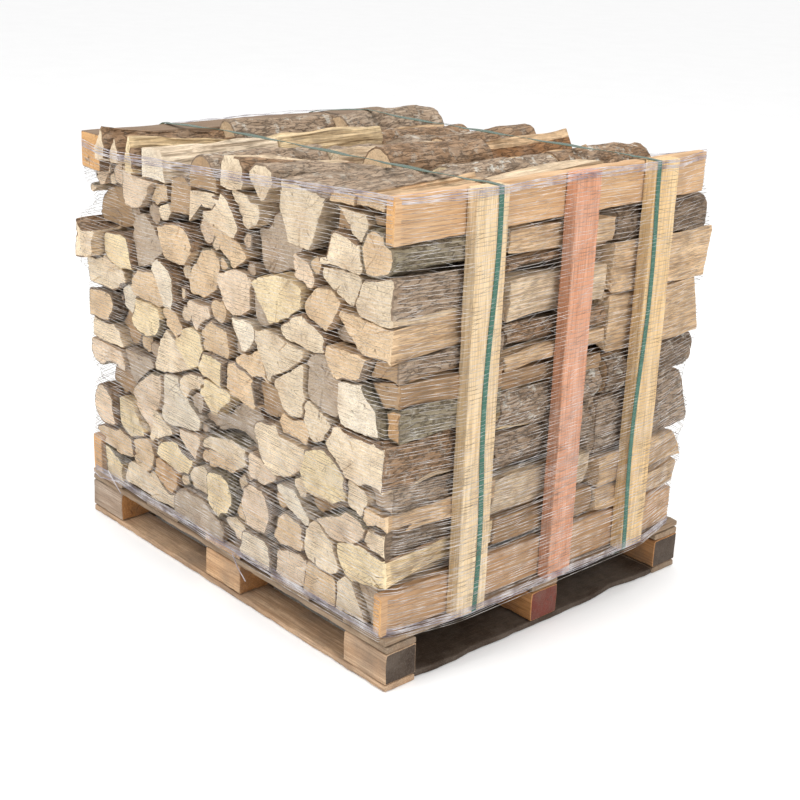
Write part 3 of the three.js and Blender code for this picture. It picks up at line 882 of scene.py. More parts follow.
@dataclass
class Timber:
    """Sawn boards, blocks, rails and battens, each drawn out along its grain."""

    finish: bpy.types.Material
    slot: str
    wear: float = 0.0012
    edge: float = 0.0022

    def cut(
        self,
        node: str,
        grain: str,
        wood: Colour,
        seed: int,
        wane: float = 0.0,
        end: Colour | None = None,
        sag: float = 0.0,
    ) -> bpy.types.Object:
        """Makes the timber that stands for a frame node, inside that node's box.

        Args:
            node: The frame node.
            grain: The grain's axis, "x", "y" or "z".
            wood: The timber's colour.
            seed: Seed of its wear.
            wane: Depth of the bark edge cut away along one side, in metres.
            end: The colour of its sawn ends, where it isn't the timber's own.
            sag: How much lower the far end lies than the near one, in metres.

        Returns:
            The new piece.
        """
        low, high = (np.array(corner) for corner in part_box(node))
        axis = "xyz".index(grain)
        others = [i for i in range(3) if i != axis]
        size = high - low
        wide, deep = size[others[0]], size[others[1]]
        loop = self._outline(wide, deep)
        draw = np.random.default_rng(seed)
        length = size[axis]
        rows = max(4, int(length / 0.02))
        inner = np.linspace(self.edge * 1.6, length - self.edge * 1.6, rows)
        stations = np.concatenate([[0.0, self.edge * 0.5], inner, [length - self.edge * 0.5, length]])
        ripple = Ripple(seed)
        count = len(loop)
        place = np.zeros((len(stations), count, 3))
        place[:, :, 0], place[:, :, 2] = loop[None, :, 0], loop[None, :, 1]
        place[:, :, 1] = stations[:, None]
        out = normals_of(loop)
        rough = (ripple(place * (60.0, 9.0, 60.0)) - 0.8) * self.wear * 0.45
        corner = np.exp(-self._to_corner(loop, wide, deep) / 0.006)
        rough -= corner[None, :] * (0.5 + 0.5 * ripple(place * 22.0 + 7.0)) * self.wear * 1.4
        place[:, :, 0] += out[:, 0] * rough
        place[:, :, 2] += out[:, 1] * rough
        if wane > 0:
            bite = wane * np.clip(ripple(place * (0.0, 4.5, 0.0) + 3.0) * 0.8 + 0.35, 0, 1)
            side = np.clip((place[:, :, 0] - (wide - 2.2 * wane)) / (2.2 * wane), 0, 1)
            place[:, :, 0] -= side * bite
        for row in (0, len(stations) - 1):
            mid = np.array([wide / 2, deep / 2])
            pull = 1 - self.edge / max(min(wide, deep), 0.01) * 1.2
            place[row, :, 0] = mid[0] + (place[row, :, 0] - mid[0]) * pull
            place[row, :, 2] = mid[1] + (place[row, :, 2] - mid[1]) * pull
        points, faces, sawn = self._skin(place)
        pith = np.array([wide * draw.uniform(0.2, 0.8), 0.0, deep * draw.uniform(-1.4, -0.3)])
        grain_at = points - pith
        grain_at[:, 1] += draw.uniform(-30, 30)
        world = np.zeros_like(points)
        world[:, others[0]] = low[others[0]] + points[:, 0]
        world[:, axis] = low[axis] + points[:, 1]
        world[:, others[1]] = low[others[1]] + points[:, 2]
        world[:, 2] -= sag * points[:, 1] / length
        stock = Stock()
        faces = outward(world, faces)
        stock.add(world, faces, grain_at, wood, end or wood, 0.0, [0.0] * len(faces), sawn)
        made = stock.piece(f"{node}_timber", self.finish, self.slot)
        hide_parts(node)
        return made

    def _outline(self, wide: float, deep: float) -> Array:
        """A rectangle with a few points along each side and softened corners.

        Args:
            wide: Its first side in metres.
            deep: Its second side in metres.

        Returns:
            (n, 2) corners in order.
        """
        e = self.edge
        across = max(3, int(wide / 0.016))
        up = max(2, int(deep / 0.016))
        xs = np.concatenate([[e], np.linspace(e * 2.5, wide - e * 2.5, across), [wide - e]])
        zs = np.concatenate([[e], np.linspace(e * 2.2, deep - e * 2.2, up), [deep - e]])
        sides = [
            np.stack([xs, 0 * xs], 1),
            np.stack([0 * zs + wide, zs], 1),
            np.stack([xs[::-1], 0 * xs + deep], 1),
            np.stack([0 * zs, zs[::-1]], 1),
        ]
        return np.concatenate(sides)

    @staticmethod
    def _to_corner(loop: Array, wide: float, deep: float) -> Array:
        """Distance of each outline point to the nearest corner."""
        corners = np.array([[0, 0], [wide, 0], [wide, deep], [0, deep]])
        return np.linalg.norm(loop[:, None] - corners[None], axis=2).min(axis=1)

    @staticmethod
    def _skin(place: Array) -> tuple[Array, list[tuple[int, ...]], list[float]]:
        """Faces between rings, and two closed ends with an inner ring each."""
        rows, count, _ = place.shape
        points = [place.reshape(-1, 3)]
        faces: list[tuple[int, ...]] = []
        sawn: list[float] = []
        for i in range(rows - 1):
            for j in range(count):
                k = (j + 1) % count
                faces.append((i * count + j, i * count + k, (i + 1) * count + k, (i + 1) * count + j))
                sawn.append(0.0)
        total = rows * count
        for row in (0, rows - 1):
            rim = [row * count + j for j in range(count)]
            middle = place[row].mean(axis=0)
            points.append(place[row] + (middle - place[row]) * 0.4)
            now = list(range(total, total + count))
            points.append(middle[None, :])
            hub = total + count
            for j in range(count):
                k = (j + 1) % count
                quad = (rim[j], now[j], now[k], rim[k])
                tri = (now[j], hub, now[k])
                faces += [quad, tri] if row == 0 else [quad[::-1], tri[::-1]]
                sawn += [1.0, 1.0]
            total += count + 1
        return np.concatenate(points), faces, sawn


@dataclass
class PalletDeck:
    """The four-way block pallet: base boards, blocks, stringers and deck boards."""

    weathered: Colour = shade("a8947c")
    grey: Colour = shade("bdab99")
    fresh: Colour = shade("d09a63")
    pale: Colour = shade("d4b696")
    light: Colour = shade("e6c096")
    dirty: Colour = shade("46392e")
    stain: Colour = shade("7d3b30")

    def build(self, finish: bpy.types.Material) -> list[bpy.types.Object]:
        """Builds the pallet's 22 pieces.

        Args:
            finish: The boards' and blocks' finish.

        Returns:
            The pieces.
        """
        timber = Timber(finish, "pallet_wood", wear=0.0022, edge=0.0026)
        made = []
        boards = {"front": self.pale, "back": self.weathered, "left": self.weathered}
        boards |= {"centre": self.grey, "right": self.dirty}
        for i, (place, wood) in enumerate(boards.items()):
            along = "x" if place in ("front", "back") else "y"
            wane = 0.012 if place == "right" else 0.0
            made.append(timber.cut(f"pallet_bottom_board_{place}", along, wood, 900 + i, wane))
        blocks = {
            ("front", "left"): (self.grey, self.fresh),
            ("front", "centre"): (self.light, self.fresh),
            ("front", "right"): (self.pale, self.dirty),
            ("middle", "right"): (self.fresh, self.stain),
            ("back", "right"): (self.fresh, self.dirty),
        }
        seed = 920
        for row in ("front", "middle", "back"):
            for column in ("left", "centre", "right"):
                seed += 1
                wood, end = blocks.get((row, column), (self.fresh, self.weathered))
                made.append(timber.cut(f"pallet_block_{row}_{column}", "x", wood, seed, end=end))
            made.append(timber.cut(f"pallet_stringer_{row}", "x", self.weathered, seed + 20))
        for i in range(1, 6):
            wood = (self.grey, self.weathered, self.pale, self.weathered, self.weathered)[i - 1]
            made.append(timber.cut(f"pallet_deck_board_{i}", "y", wood, 960 + i))
        return made


@dataclass
class Frame:
    """The four corner rails and the six upright battens."""

    rail: Colour = shade("d8b690")
    rail_low: Colour = shade("c8a683")
    rail_old: Colour = shade("85715e")
    beam_sag: float = 0.012
    rail_end: Colour = shade("e2b680")
    batten: Colour = shade("e4c99d")
    batten_pale: Colour = shade("e3cfae")
    stained: Colour = shade("d3a083")

    def build(
        self, rails: bpy.types.Material, pale: bpy.types.Material, pink: bpy.types.Material
    ) -> list[bpy.types.Object]:
        """Builds the rails and battens.

        Args:
            rails: The rails' finish.
            pale: The plain battens' finish.
            pink: The dyed batten's finish.

        Returns:
            The ten pieces.
        """
        made = []
        rail_timber = Timber(rails, "rail_wood", wear=0.002, edge=0.003)
        woods = {"right_bottom": self.rail_low, "right_top": self.rail, "left_bottom": self.rail_low}
        for i, (place, wood) in enumerate(woods.items()):
            made.append(rail_timber.cut(f"rail_{place}", "y", wood, 1000 + i, end=self.rail_end))
        made.append(
            rail_timber.cut(
                "rail_left_top", "y", self.rail_old, 1004, wane=0.016, end=self.rail_end, sag=self.beam_sag
            )
        )
        pale_timber = Timber(pale, "batten_wood", wear=0.0012)
        pink_timber = Timber(pink, "stained_batten_wood", wear=0.0012)
        for side in ("right", "left"):
            for i, place in enumerate(("front", "middle", "back")):
                dyed = side == "right" and place == "middle"
                timber = pink_timber if dyed else pale_timber
                plain = self.batten_pale if place == "front" else self.batten
                wood = self.stained if dyed else plain
                made.append(timber.cut(f"batten_{side}_{place}", "z", wood, 1020 + i + 5 * len(side)))
        return made


# ------------------------------------------------------------------ the log ends of the front row

@dataclass(frozen=True)
class LogEnd:
    """A drawn log end: how far it stands proud in mm, its corners in cm and its barked stretch."""

    wood: Wood
    proud: float
    corners: str
    bark: tuple[int, int] | None


@dataclass(frozen=True)
class SideLog:
    """A log whose long side shows: its course in cm, its face, and its far end's reach and slant."""

    low: float
    high: float
    wood: Wood
    kind: Kind
    hide: Bark
    lichen: float
    reach: float = 0.0
    slant: float = 0.0


@dataclass(frozen=True)
class TopLog:
    """A top log's finish, its barked arc in degrees from +X, and its rise and far end's rise in mm."""

    wood: Wood
    hide: Bark
    lichen: float
    arc: tuple[int, int] | None
    lift: float = 0.0
    tilt: float = 0.0


@dataclass(frozen=True)
class TopFill:
    """A log between the frame's own top logs: its box in cm and its finish."""

    left: float
    right: float
    bottom: float
    top: float
    wood: Wood
    hide: Bark | None
    lichen: float


_DRAWN = (
    (Wood.PINK, 4, "-40.5 98  -29 99.5  -26 97  -34 90  -40 89.5", (4, 0)),
    (Wood.TAN, -6, "-28.6 98  -24.5 98  -24.2 92  -28.8 91", None),
    (Wood.PALE, 3, "-23.6 98.5  -19 99  -19.5 92", None),
    (Wood.CREAM, -4, "-26 90.2  -22.5 90.5  -24.5 87.3", None),
    (Wood.TAN, -8, "-18 99  -9.5 99  -13 95  -18.2 93", None),
    (Wood.CREAM, 2, "-12.5 100  -3 100  0 97.6  -4 93.5  -8 96", None),
    (Wood.CREAM, 12, "-5.5 92.5  -3.5 96.5  0.5 97.8  4.5 95.5  6 91  4 89  -1 90.5", (0, 5)),
    (Wood.CREAM, 0, "4.5 99.6  12 99.8  13.5 94  12 92.5  8 93", None),
    (Wood.GREY, -30, "10.5 92.5  20 96.5  23.5 92  25 86  20 84.6  12 84", (0, 4)),
    (Wood.PINK, 6, "17 98  21 98  21 97  18.5 95.8  16.5 97", None),
    (Wood.CREAM, 2, "40.2 103  49 103  49 99.4  47.4 96.8  45.6 97.6", None),
    (Wood.BROWN, -16, "49.8 101  49.8 103  55.4 103  55.4 100  52.8 101", (0, 4)),
    (Wood.BROWN, -12, "38.3 98  38.4 103  39.6 103  44 98  41 98.1", (0, 3)),
    (Wood.CREAM, 6, "36 91  37.5 96.5  42 97.5  47 96  48 91.5  43 90.2", (0, 3)),
    (Wood.TAN, 6, "48.4 95.5  49.6 99  52.8 100.4  56 99  57.4 95.6  56 92.2  52.8 90.9  49.6 92.1", (0, 0)),
    (Wood.BROWN, -34, "-57.5 80.5  -55 87  -48 90.5  -42 90  -41 83  -46 81", (0, 3)),
    (Wood.GREY, -3, "-36.5 84  -33 86  -29 83  -26 79.5  -29 76  -33 74  -36 75", None),
    (Wood.TAN, 8, "-24.6 85.5  -19 87  -13 85.7  -11 82.2  -14 80  -22 79.8", (0, 3)),
    (Wood.TAN, -6, "-4 89.3  3 88.4  7 85  3 82.6  -1 86", None),
    (Wood.PINK, -2, "24 89.8  30 87.5  31 84.2  27 84.7", None),
    (Wood.CREAM, 3, "35.5 88  42 90.2  47 88.8  45.5 83.6", None),
    (Wood.CREAM, 5, "47.5 84  50 88.5  54.5 90.6  58.4 89.5  58.5 83  56 81.7  49 82.2", (1, 4)),
    (Wood.YELLOW, 6, "12.5 80  20 83.5  28.6 83.6  28 79.2  24 74.6  17 73.2  13.4 77", None),
    (Wood.TAN, 2, "31 79.5  34 83.3  38 83.7  40.3 82  39 77.2  36 76.2  32 77.6", None),
    (Wood.CREAM, 44, "-60 79  -56.5 81.6  -50.5 80.4  -50.8 75  -54 72.2  -59.4 73.4", (4, 2)),
    (Wood.YELLOW, 10, "-50.4 77  -48.5 79.6  -42 80.2  -37.4 78  -37.2 73.4  -43 72.4  -49.6 74.7", (1, 4)),
    (Wood.PALE, 12, "-28.3 76  -25 77.4  -21 75.6  -18.7 71  -19.6 67  -22.6 67.4  -24.4 71.4", (1, 4)),
    (Wood.TAN, -5, "-13.5 76.5  -11 81.4  -6 83.2  -3.2 81  -5 75.7  -9 72.7  -13.3 72.7", (0, 2)),
    (Wood.PINK, 0, "-1.8 78  4 79.9  9.3 79.8  8.8 74.2  5 71.8  1 73.2", None),
    (Wood.GREY, -7, "11 79  13.2 77.6  17 73.1  14 70.4  12 73", None),
    (Wood.TAN, 4, "41 80.4  50 80.4  58.5 80  58.3 74.2  50 74.2  44.4 77", None),
    (Wood.CREAM, 5, "22.5 73.5  26 76.2  31 76.3  35.8 74.2  36.8 71.2  33 70.3  24 70.7", (0, 4)),
    (Wood.GREY, -24, "38 76.5  40.5 79  44 76.6  47 74.4  39 73.6", (0, 2)),
    (Wood.TAN, 9, "37.8 69.6  38 72.8  44 73.3  51.4 73.2  49.4 70  46 67.6  41 67.2", (3, 6)),
    (Wood.BROWN, -14, "52 73.4  58.4 73.4  58.4 69.7  50.6 69", (0, 2)),
    (Wood.CREAM, 7, "-58.4 71  -52 72.6  -43.2 71  -42.2 67.8  -49 65.8  -57 65.8", (3, 0)),
    (Wood.PALE, -2, "-43 67.2  -37.6 66  -38.4 62  -42 62.2", None),
    (Wood.TAN, 3, "-36.9 70  -33 73.6  -28.4 72.8  -24.8 67.4  -27 65.8  -37 66.7", (0, 3)),
    (Wood.YELLOW, 10, "-38 59  -37 65.3  -28 65.4  -24.4 63  -26 59.7  -32.5 57.6", (3, 0)),
    (Wood.TAN, 9, "-58.4 60  -56.6 63.2  -52.6 64.4  -47.7 63  -46.2 59.2  -52 55.8  -57 56.6", (0, 0)),
    (Wood.PINK, 0, "-13.8 69.4  -6.2 69.2  -10 64.3", None),
    (Wood.PALE, 4, "4.2 70  12.4 69.6  8.5 63.8", None),
    (Wood.CREAM, 7, "13.2 70  30.3 68.7  28 66.7  16.7 58.8", None),
    (Wood.GREY, -4, "30.4 68.6  37.6 70  40.8 65  39.8 57.7  33 58.2  30.2 61", None),
    (Wood.PALE, 5, "43.2 66.2  48.8 66  52.4 62.4  54.2 57  51 56.4  44 56  42.2 61", (1, 4)),
    (Wood.ORANGE, -22, "54.8 60  56 63.2  58.4 62.6  58.5 57  56.6 56.2  55 57.2", (0, 0)),
    (Wood.BROWN, -20, "50.5 68.4  58.4 68.6  58.4 64.2  54.4 63.6  51 66", (3, 0)),
    (Wood.TAN, -2, "-9 64.6  -5 66.7  0 65.8  1 62  0 59.7  -6 59.8  -9 61.2", (0, 2)),
    (Wood.TAN, -4, "-25.3 64.6  -21 65.2  -17.3 61  -20 59.8  -24 61.2", None),
    (Wood.YELLOW, 5, "-19.6 60  -13 62.8  -9.2 62.2  -10.4 56  -14.8 53.9  -16.8 56", None),
    (Wood.CREAM, 0, "-24.4 60.8  -15.2 53.4  -28.6 49.4", None),
    (Wood.CREAM, 3, "19.2 60  29.8 65.6  29.3 55.2  25 52.9  20.6 56.6", None),
    (Wood.TAN, -3, "5 60  13.4 64.2  17.3 57.7", None),
    (Wood.CREAM, 0, "-58.2 50.4  -56.8 55.3  -46.2 54.8  -44.2 50.4", None),
    (Wood.BROWN, -26, "-47.6 56  -46 60.4  -41.4 60.2  -39.6 56.4  -41.6 52.4  -46 52.4", (0, 0)),
    (Wood.PINK, 5, "-58.4 49.6  -44.2 49.8  -42.2 44.8  -54.8 45.2", (2, 0)),
    (Wood.YELLOW, 8, "-9.8 55.8  -6 58.8  0 58.9  1 53.2  -1 52.4  -8 54.8", (0, 3)),
    (Wood.TAN, 2, "1.4 53  1.2 57.8  5 59.2  9 57.8  12.4 51.6  7 51.9", (1, 4)),
    (Wood.BROWN, -24, "11.4 56.6  15 58.2  19.6 56.4  20.4 51.8  16 50.6  12.8 51.2", (0, 3)),
    (Wood.CREAM, 1, "29.2 56.8  33 57.6  38.8 54.4  34 50.3  32 50.8", None),
    (Wood.CREAM, 7, "37.8 52  43 55.3  55 56.2  58.5 54  58.5 46.4  46 46.4  39.4 50", (0, 4)),
    (Wood.TAN, -4, "21.2 51.6  29.6 51.6  28.7 47.4  21.2 47.4", None),
    (Wood.BROWN, -28, "-52 40  -50 44.6  -43.6 44.2  -40.4 42  -41.2 38.2  -46 37.6  -51 38.2", (0, 0)),
    (Wood.CREAM, 0, "-19 47.2  -16.5 50.2  -14 51.3  -8.4 51.6  -8.2 50.2  -14 49  -16.8 45.8", (0, 3)),
    (Wood.YELLOW, 6, "-9.8 50.6  -5 52.6  1 51.8  1.8 50  -3.5 44.4  -7 47.7", None),
    (Wood.GREY, -4, "-43.6 50  -30.4 49.8  -34 46.2  -40 42.6", None),
    (Wood.PINK, 6, "-37.8 41  -33 46.3  -26.3 48.2  -25.8 43  -29 38.8  -36 38.8", (0, 2)),
    (Wood.PALE, 1, "-25.2 48.2  -20 47.7  -17 44  -12.2 41.8  -11.8 39.2  -18 37.8  -25.2 37.3", None),
    (
        Wood.GREY,
        -30,
        "-10.6 42  -8.6 46  -3.8 43.4  1 47.6  8 48.6  12.4 46  12.6 41.4  4 42.2  -4 40.4",
        (3, 6),
    ),
    (Wood.CREAM, 5, "13.7 46.8  20 48.8  28 46.8  30.8 45  27 40.7  20 38.3  17 39.3", (6, 1)),
    (Wood.YELLOW, 6, "31.2 45.8  36 48.2  42 46.7  44.8 41.6  41 37.3  33 37.8  31.2 42", (0, 3)),
    (Wood.CREAM, 3, "45 43.4  51.7 42.4  50 38.8  45.6 40", None),
    (Wood.GREY, -16, "51.4 46  58.5 46  58.3 40.8  52 41  52.6 43.4", (0, 3)),
    (Wood.TAN, 0, "50.6 40.2  58.4 40.2  58.4 36.9  51.6 37.4", None),
    (Wood.CREAM, 3, "-8.3 36  -3 39.6  1 40.8  8.3 39.8  9.8 36.7  6 34.8", (0, 3)),
    (Wood.TAN, -5, "-7 34.3  5 34.3  2 32.2  -6 31.2", None),
    (Wood.PINK, 0, "9.6 38.7  18.8 36.4  15 33.8  10.6 34.8", None),
    (Wood.PINK, 8, "-57 33  -54.8 36.8  -50 37.3  -48.2 33  -48.2 28.4  -53 27.8  -56 30", (0, 0)),
    (Wood.YELLOW, 5, "-46 36.8  -40.4 36  -33.6 31  -36 28.8  -42 27.8  -46 31", (2, 5)),
    (Wood.PINK, -5, "-39.6 38.2  -32.2 37.8  -31.4 33  -33 30.9  -37.6 34.4", None),
    (Wood.CREAM, 0, "-31 37.8  -27 35.4  -22.3 34  -28 32.2  -32 29.8", None),
    (Wood.PINK, 0, "-18.8 35.4  -10.8 35.8  -14 30.4  -17 31.2", None),
    (Wood.PALE, 0, "21.2 34.8  26.8 34.8  31.6 29.8  28 29.3", None),
    (Wood.PINK, 4, "36.2 33  41 35.6  47 36.7  50.7 35.3  47 31.3  41 30.9", (0, 3)),
    (Wood.CREAM, 3, "51.6 33.5  54.4 36.4  58.5 36.6  58.5 31.4  55 31.6", (1, 4)),
    (Wood.YELLOW, 6, "-27.7 27.6  -24 31.2  -18 31.7  -14.2 29.8  -15 26.8  -20 25.8", (0, 3)),
    (
        Wood.YELLOW,
        12,
        "-6.6 25  -5.2 28.6  -1.5 30  2.2 28.6  3.7 25  2.2 21.5  -1.5 20.2  -5.2 21.5",
        (0, 0),
    ),
    (
        Wood.PINK,
        10,
        "8.6 26.5  9.8 30.2  13.4 31.8  17.2 30.4  18.6 26.4  17.2 22.8  13.5 21.6  9.8 22.8",
        (0, 0),
    ),
    (
        Wood.PALE,
        14,
        "8.6 15.6  10.2 19  14.4 20.3  18.6 19  20.2 15.6  18.6 13.2  14.4 12.9  10.2 13.2",
        (0, 0),
    ),
    (Wood.CREAM, -2, "-14 26.3  -9 28.2  -7 26  -7.2 22.6  -13 22.7", None),
    (Wood.TAN, -4, "4.4 22  6.5 24.2  8.6 21.8", None),
    (Wood.TAN, 3, "19.2 22.4  23 27.8  29 29.6  30.6 25  28 21.9  22 21.5", (0, 3)),
    (Wood.CREAM, 6, "31.2 25  33.4 29  36 30.6  41 27.8  42.6 23.2  38 20.6  33 22.3", None),
    (Wood.YELLOW, 2, "43 28  48 30.2  55 30.4  58.4 29.8  58.4 23.2  51 22.4  46 24", (1, 3)),
    (Wood.GREY, 8, "-20 13.1  -19 18  -13 21.8  -6.6 21  0 16.4  -1 13.1", (0, 4)),
    (Wood.CREAM, -4, "0.2 20  6 19.8  8.2 17.5  6.8 16.3  2 18.4", None),
    (Wood.PINK, 2, "20.8 18  26 20.7  30.6 19.8  30.8 13.2  25 13  21 13.2", (0, 2)),
    (Wood.TAN, 3, "31.4 13.2  33 20  38.6 20  41.8 18.4  42 13.2", None),
    (Wood.CREAM, 6, "42.8 13.1  43.2 18.8  46 21.3  52 13.1", None),
    (Wood.GREY, -10, "49 21.8  55.4 22  55.4 13.2  52.8 13.2", None),
    (Wood.YELLOW, 4, "-54 13.2  -54 19.8  -50 20.8  -45.4 18  -46.4 13.2", (0, 3)),
    (Wood.CREAM, -2, "-45.6 15  -42 18.8  -35.2 18.3  -33.4 15  -37 13.2  -45 13.1", None),
    (Wood.TAN, 5, "-39.8 27  -36 28.6  -33 28.4  -30.4 23.6  -34 20.8  -38 22", None),
    (Wood.ORANGE, 2, "-30.6 24  -27 24.8  -20.4 24.3  -21.3 20  -24 17.4  -29 20", (3, 0)),
    (Wood.TAN, 1, "-58.2 24.2  -50 26.8  -41 26.7  -40.2 23  -48 21.2  -57 23.4", (0, 3)),
    (Wood.CREAM, -3, "-32.6 19.8  -27 17.6  -21 16.4  -21 13.2  -32.6 13.2", None),
    (Wood.GREY, -14, "20.6 46.6  27 46.9  31 46.4  28.4 51  22 47", None),
    (Wood.BROWN, -18, "32.6 36.6  37 37  44 38.6  43 36.6  36 33.6  33 34.4", (0, 2)),
    (Wood.GREY, -10, "-14.4 44.4  -11 47.4  -9.4 45  -11.2 42.2", None),
)
FRONT_ENDS = tuple(LogEnd(*row) for row in _DRAWN)

# The logs that show on the right side, from the bottom up.
RIGHT_MIDDLE = (
    SideLog(23.2, 30.0, Wood.BROWN, Kind.SPLIT, Bark.BROWN, 0.0),
    SideLog(30.6, 39.8, Wood.CREAM, Kind.SPLIT, Bark.GREY, 0.0),
    SideLog(40.4, 49.8, Wood.GREY, Kind.BARK, Bark.GREY, 0.1),
    SideLog(50.6, 60.4, Wood.YELLOW, Kind.BARK, Bark.GREY, 0.8),
    SideLog(61.0, 65.2, Wood.BROWN, Kind.SPLIT, Bark.BROWN, 0.0),
    SideLog(65.6, 69.2, Wood.TAN, Kind.SPLIT, Bark.BROWN, 0.0),
    SideLog(69.8, 75.6, Wood.GREY, Kind.BARK, Bark.BROWN, 0.3),
    SideLog(76.2, 85.8, Wood.CREAM, Kind.SPLIT, Bark.GREY, 0.0),
    SideLog(87.0, 90.6, Wood.BROWN, Kind.BARK, Bark.BROWN, 0.1),
    SideLog(91.0, 97.0, Wood.TAN, Kind.SPLIT, Bark.BROWN, 0.0),
)
RIGHT_BACK = (
    SideLog(23.2, 29.4, Wood.TAN, Kind.SPLIT, Bark.BROWN, 0.0, -0.8, 0.2),
    SideLog(29.8, 37.2, Wood.TAN, Kind.SPLIT, Bark.BROWN, 0.0, 0.2, -0.5),
    SideLog(37.8, 52.8, Wood.PINK, Kind.BARK, Bark.GREY, 0.1, 1.0, -0.28),
    SideLog(53.6, 63.0, Wood.BROWN, Kind.BARK, Bark.DARK, 0.7, 1.4, 0.05),
    SideLog(63.6, 77.0, Wood.TAN, Kind.SPLIT, Bark.GREY, 0.0, 0.8, -0.22),
    SideLog(77.6, 88.2, Wood.TAN, Kind.SPLIT, Bark.GREY, 0.0, 3.2, 0.1),
    SideLog(89.0, 96.8, Wood.GREY, Kind.BARK, Bark.DARK, 0.0, 1.6, 0.0),
)

# Logs of the top course that lie in the stretches between the frame's own top logs.
TOP_FILL = {
    "front": (TopFill(-21.0, -12.6, 90.0, 100.2, Wood.BROWN, Bark.GREY, 0.3),),
    "middle": (
        TopFill(-39.2, -30.6, 93.0, 101.8, Wood.TAN, Bark.BROWN, 0.2),
        TopFill(-19.8, -10.8, 91.5, 100.6, Wood.BROWN, Bark.BROWN, 0.0),
        TopFill(1.6, 6.8, 93.0, 100.8, Wood.TAN, None, 0.0),
        TopFill(22.1, 27.9, 94.0, 102.8, Wood.CREAM, Bark.MOSS, 0.5),
    ),
    "back": (
        TopFill(-48.2, -45.6, 93.0, 101.2, Wood.TAN, Bark.GREY, 0.0),
        TopFill(-31.8, -20.4, 92.0, 102.4, Wood.TAN, Bark.BROWN, 0.4),
        TopFill(-19.8, -8.0, 92.0, 102.6, Wood.GREY, Bark.GREY, 0.5),
        TopFill(4.6, 6.9, 91.0, 99.8, Wood.TAN, None, 0.0),
        TopFill(16.2, 22.2, 94.0, 103.4, Wood.TAN, None, 0.0),
        TopFill(22.8, 28.8, 94.0, 102.8, Wood.GREY, Bark.GREY, 0.6),
        TopFill(43.2, 46.9, 93.0, 101.8, Wood.GREY, Bark.DARK, 0.0),
    ),
}

# Finish and lie of the frame's own top logs, in their order from the left.
TOP_LOGS = {
    "front": (
        TopLog(Wood.CREAM, Bark.BROWN, 0.1, (-60, 100), 0, -34),
        TopLog(Wood.CREAM, Bark.BROWN, 0.0, (-60, 100), 0, -22),
        TopLog(Wood.YELLOW, Bark.BROWN, 0.0, (-60, 60), 0, -22),
        TopLog(Wood.PALE, Bark.BROWN, 0.0, None, 0, 6),
        TopLog(Wood.BROWN, Bark.GREY, 0.45, (0, 180), 0, -10),
        TopLog(Wood.CREAM, Bark.BROWN, 0.1, (-20, 80), 0, -34),
        TopLog(Wood.CREAM, Bark.GREY, 0.2, (0, 170), 0, -30),
        TopLog(Wood.CREAM, Bark.GREY, 0.3, (20, 150), 0, 0),
        TopLog(Wood.TAN, Bark.GREY, 0.2, (20, 160), 0, 4),
        TopLog(Wood.TAN, Bark.BROWN, 0.1, (20, 100), 0, 2),
    ),
    "middle": (
        TopLog(Wood.TAN, Bark.GREY, 0.55, (0, 180), 22, 4),
        TopLog(Wood.YELLOW, Bark.GREY, 0.0, None, 2, 0),
        TopLog(Wood.CREAM, Bark.GREY, 0.2, (70, 180), 0, 0),
        TopLog(Wood.TAN, Bark.BROWN, 0.25, (0, 180), -4, 2),
        TopLog(Wood.YELLOW, Bark.GREY, 0.9, (0, 180), 0, 2),
        TopLog(Wood.CREAM, Bark.BROWN, 0.0, None, 0, 4),
    ),
    "back": (
        TopLog(Wood.TAN, Bark.GREY, 0.3, (0, 180), 16, -4),
        TopLog(Wood.TAN, Bark.BROWN, 0.2, (0, 180), 0, 0),
        TopLog(Wood.TAN, Bark.RED, 0.0, (-30, 60), 0, 2),
        TopLog(Wood.TAN, Bark.BROWN, 0.75, (0, 180), -2, 2),
        TopLog(Wood.BROWN, Bark.RED, 0.7, (0, 180), -4, 0),
    ),
}


# ------------------------------------------------------------------ the logs


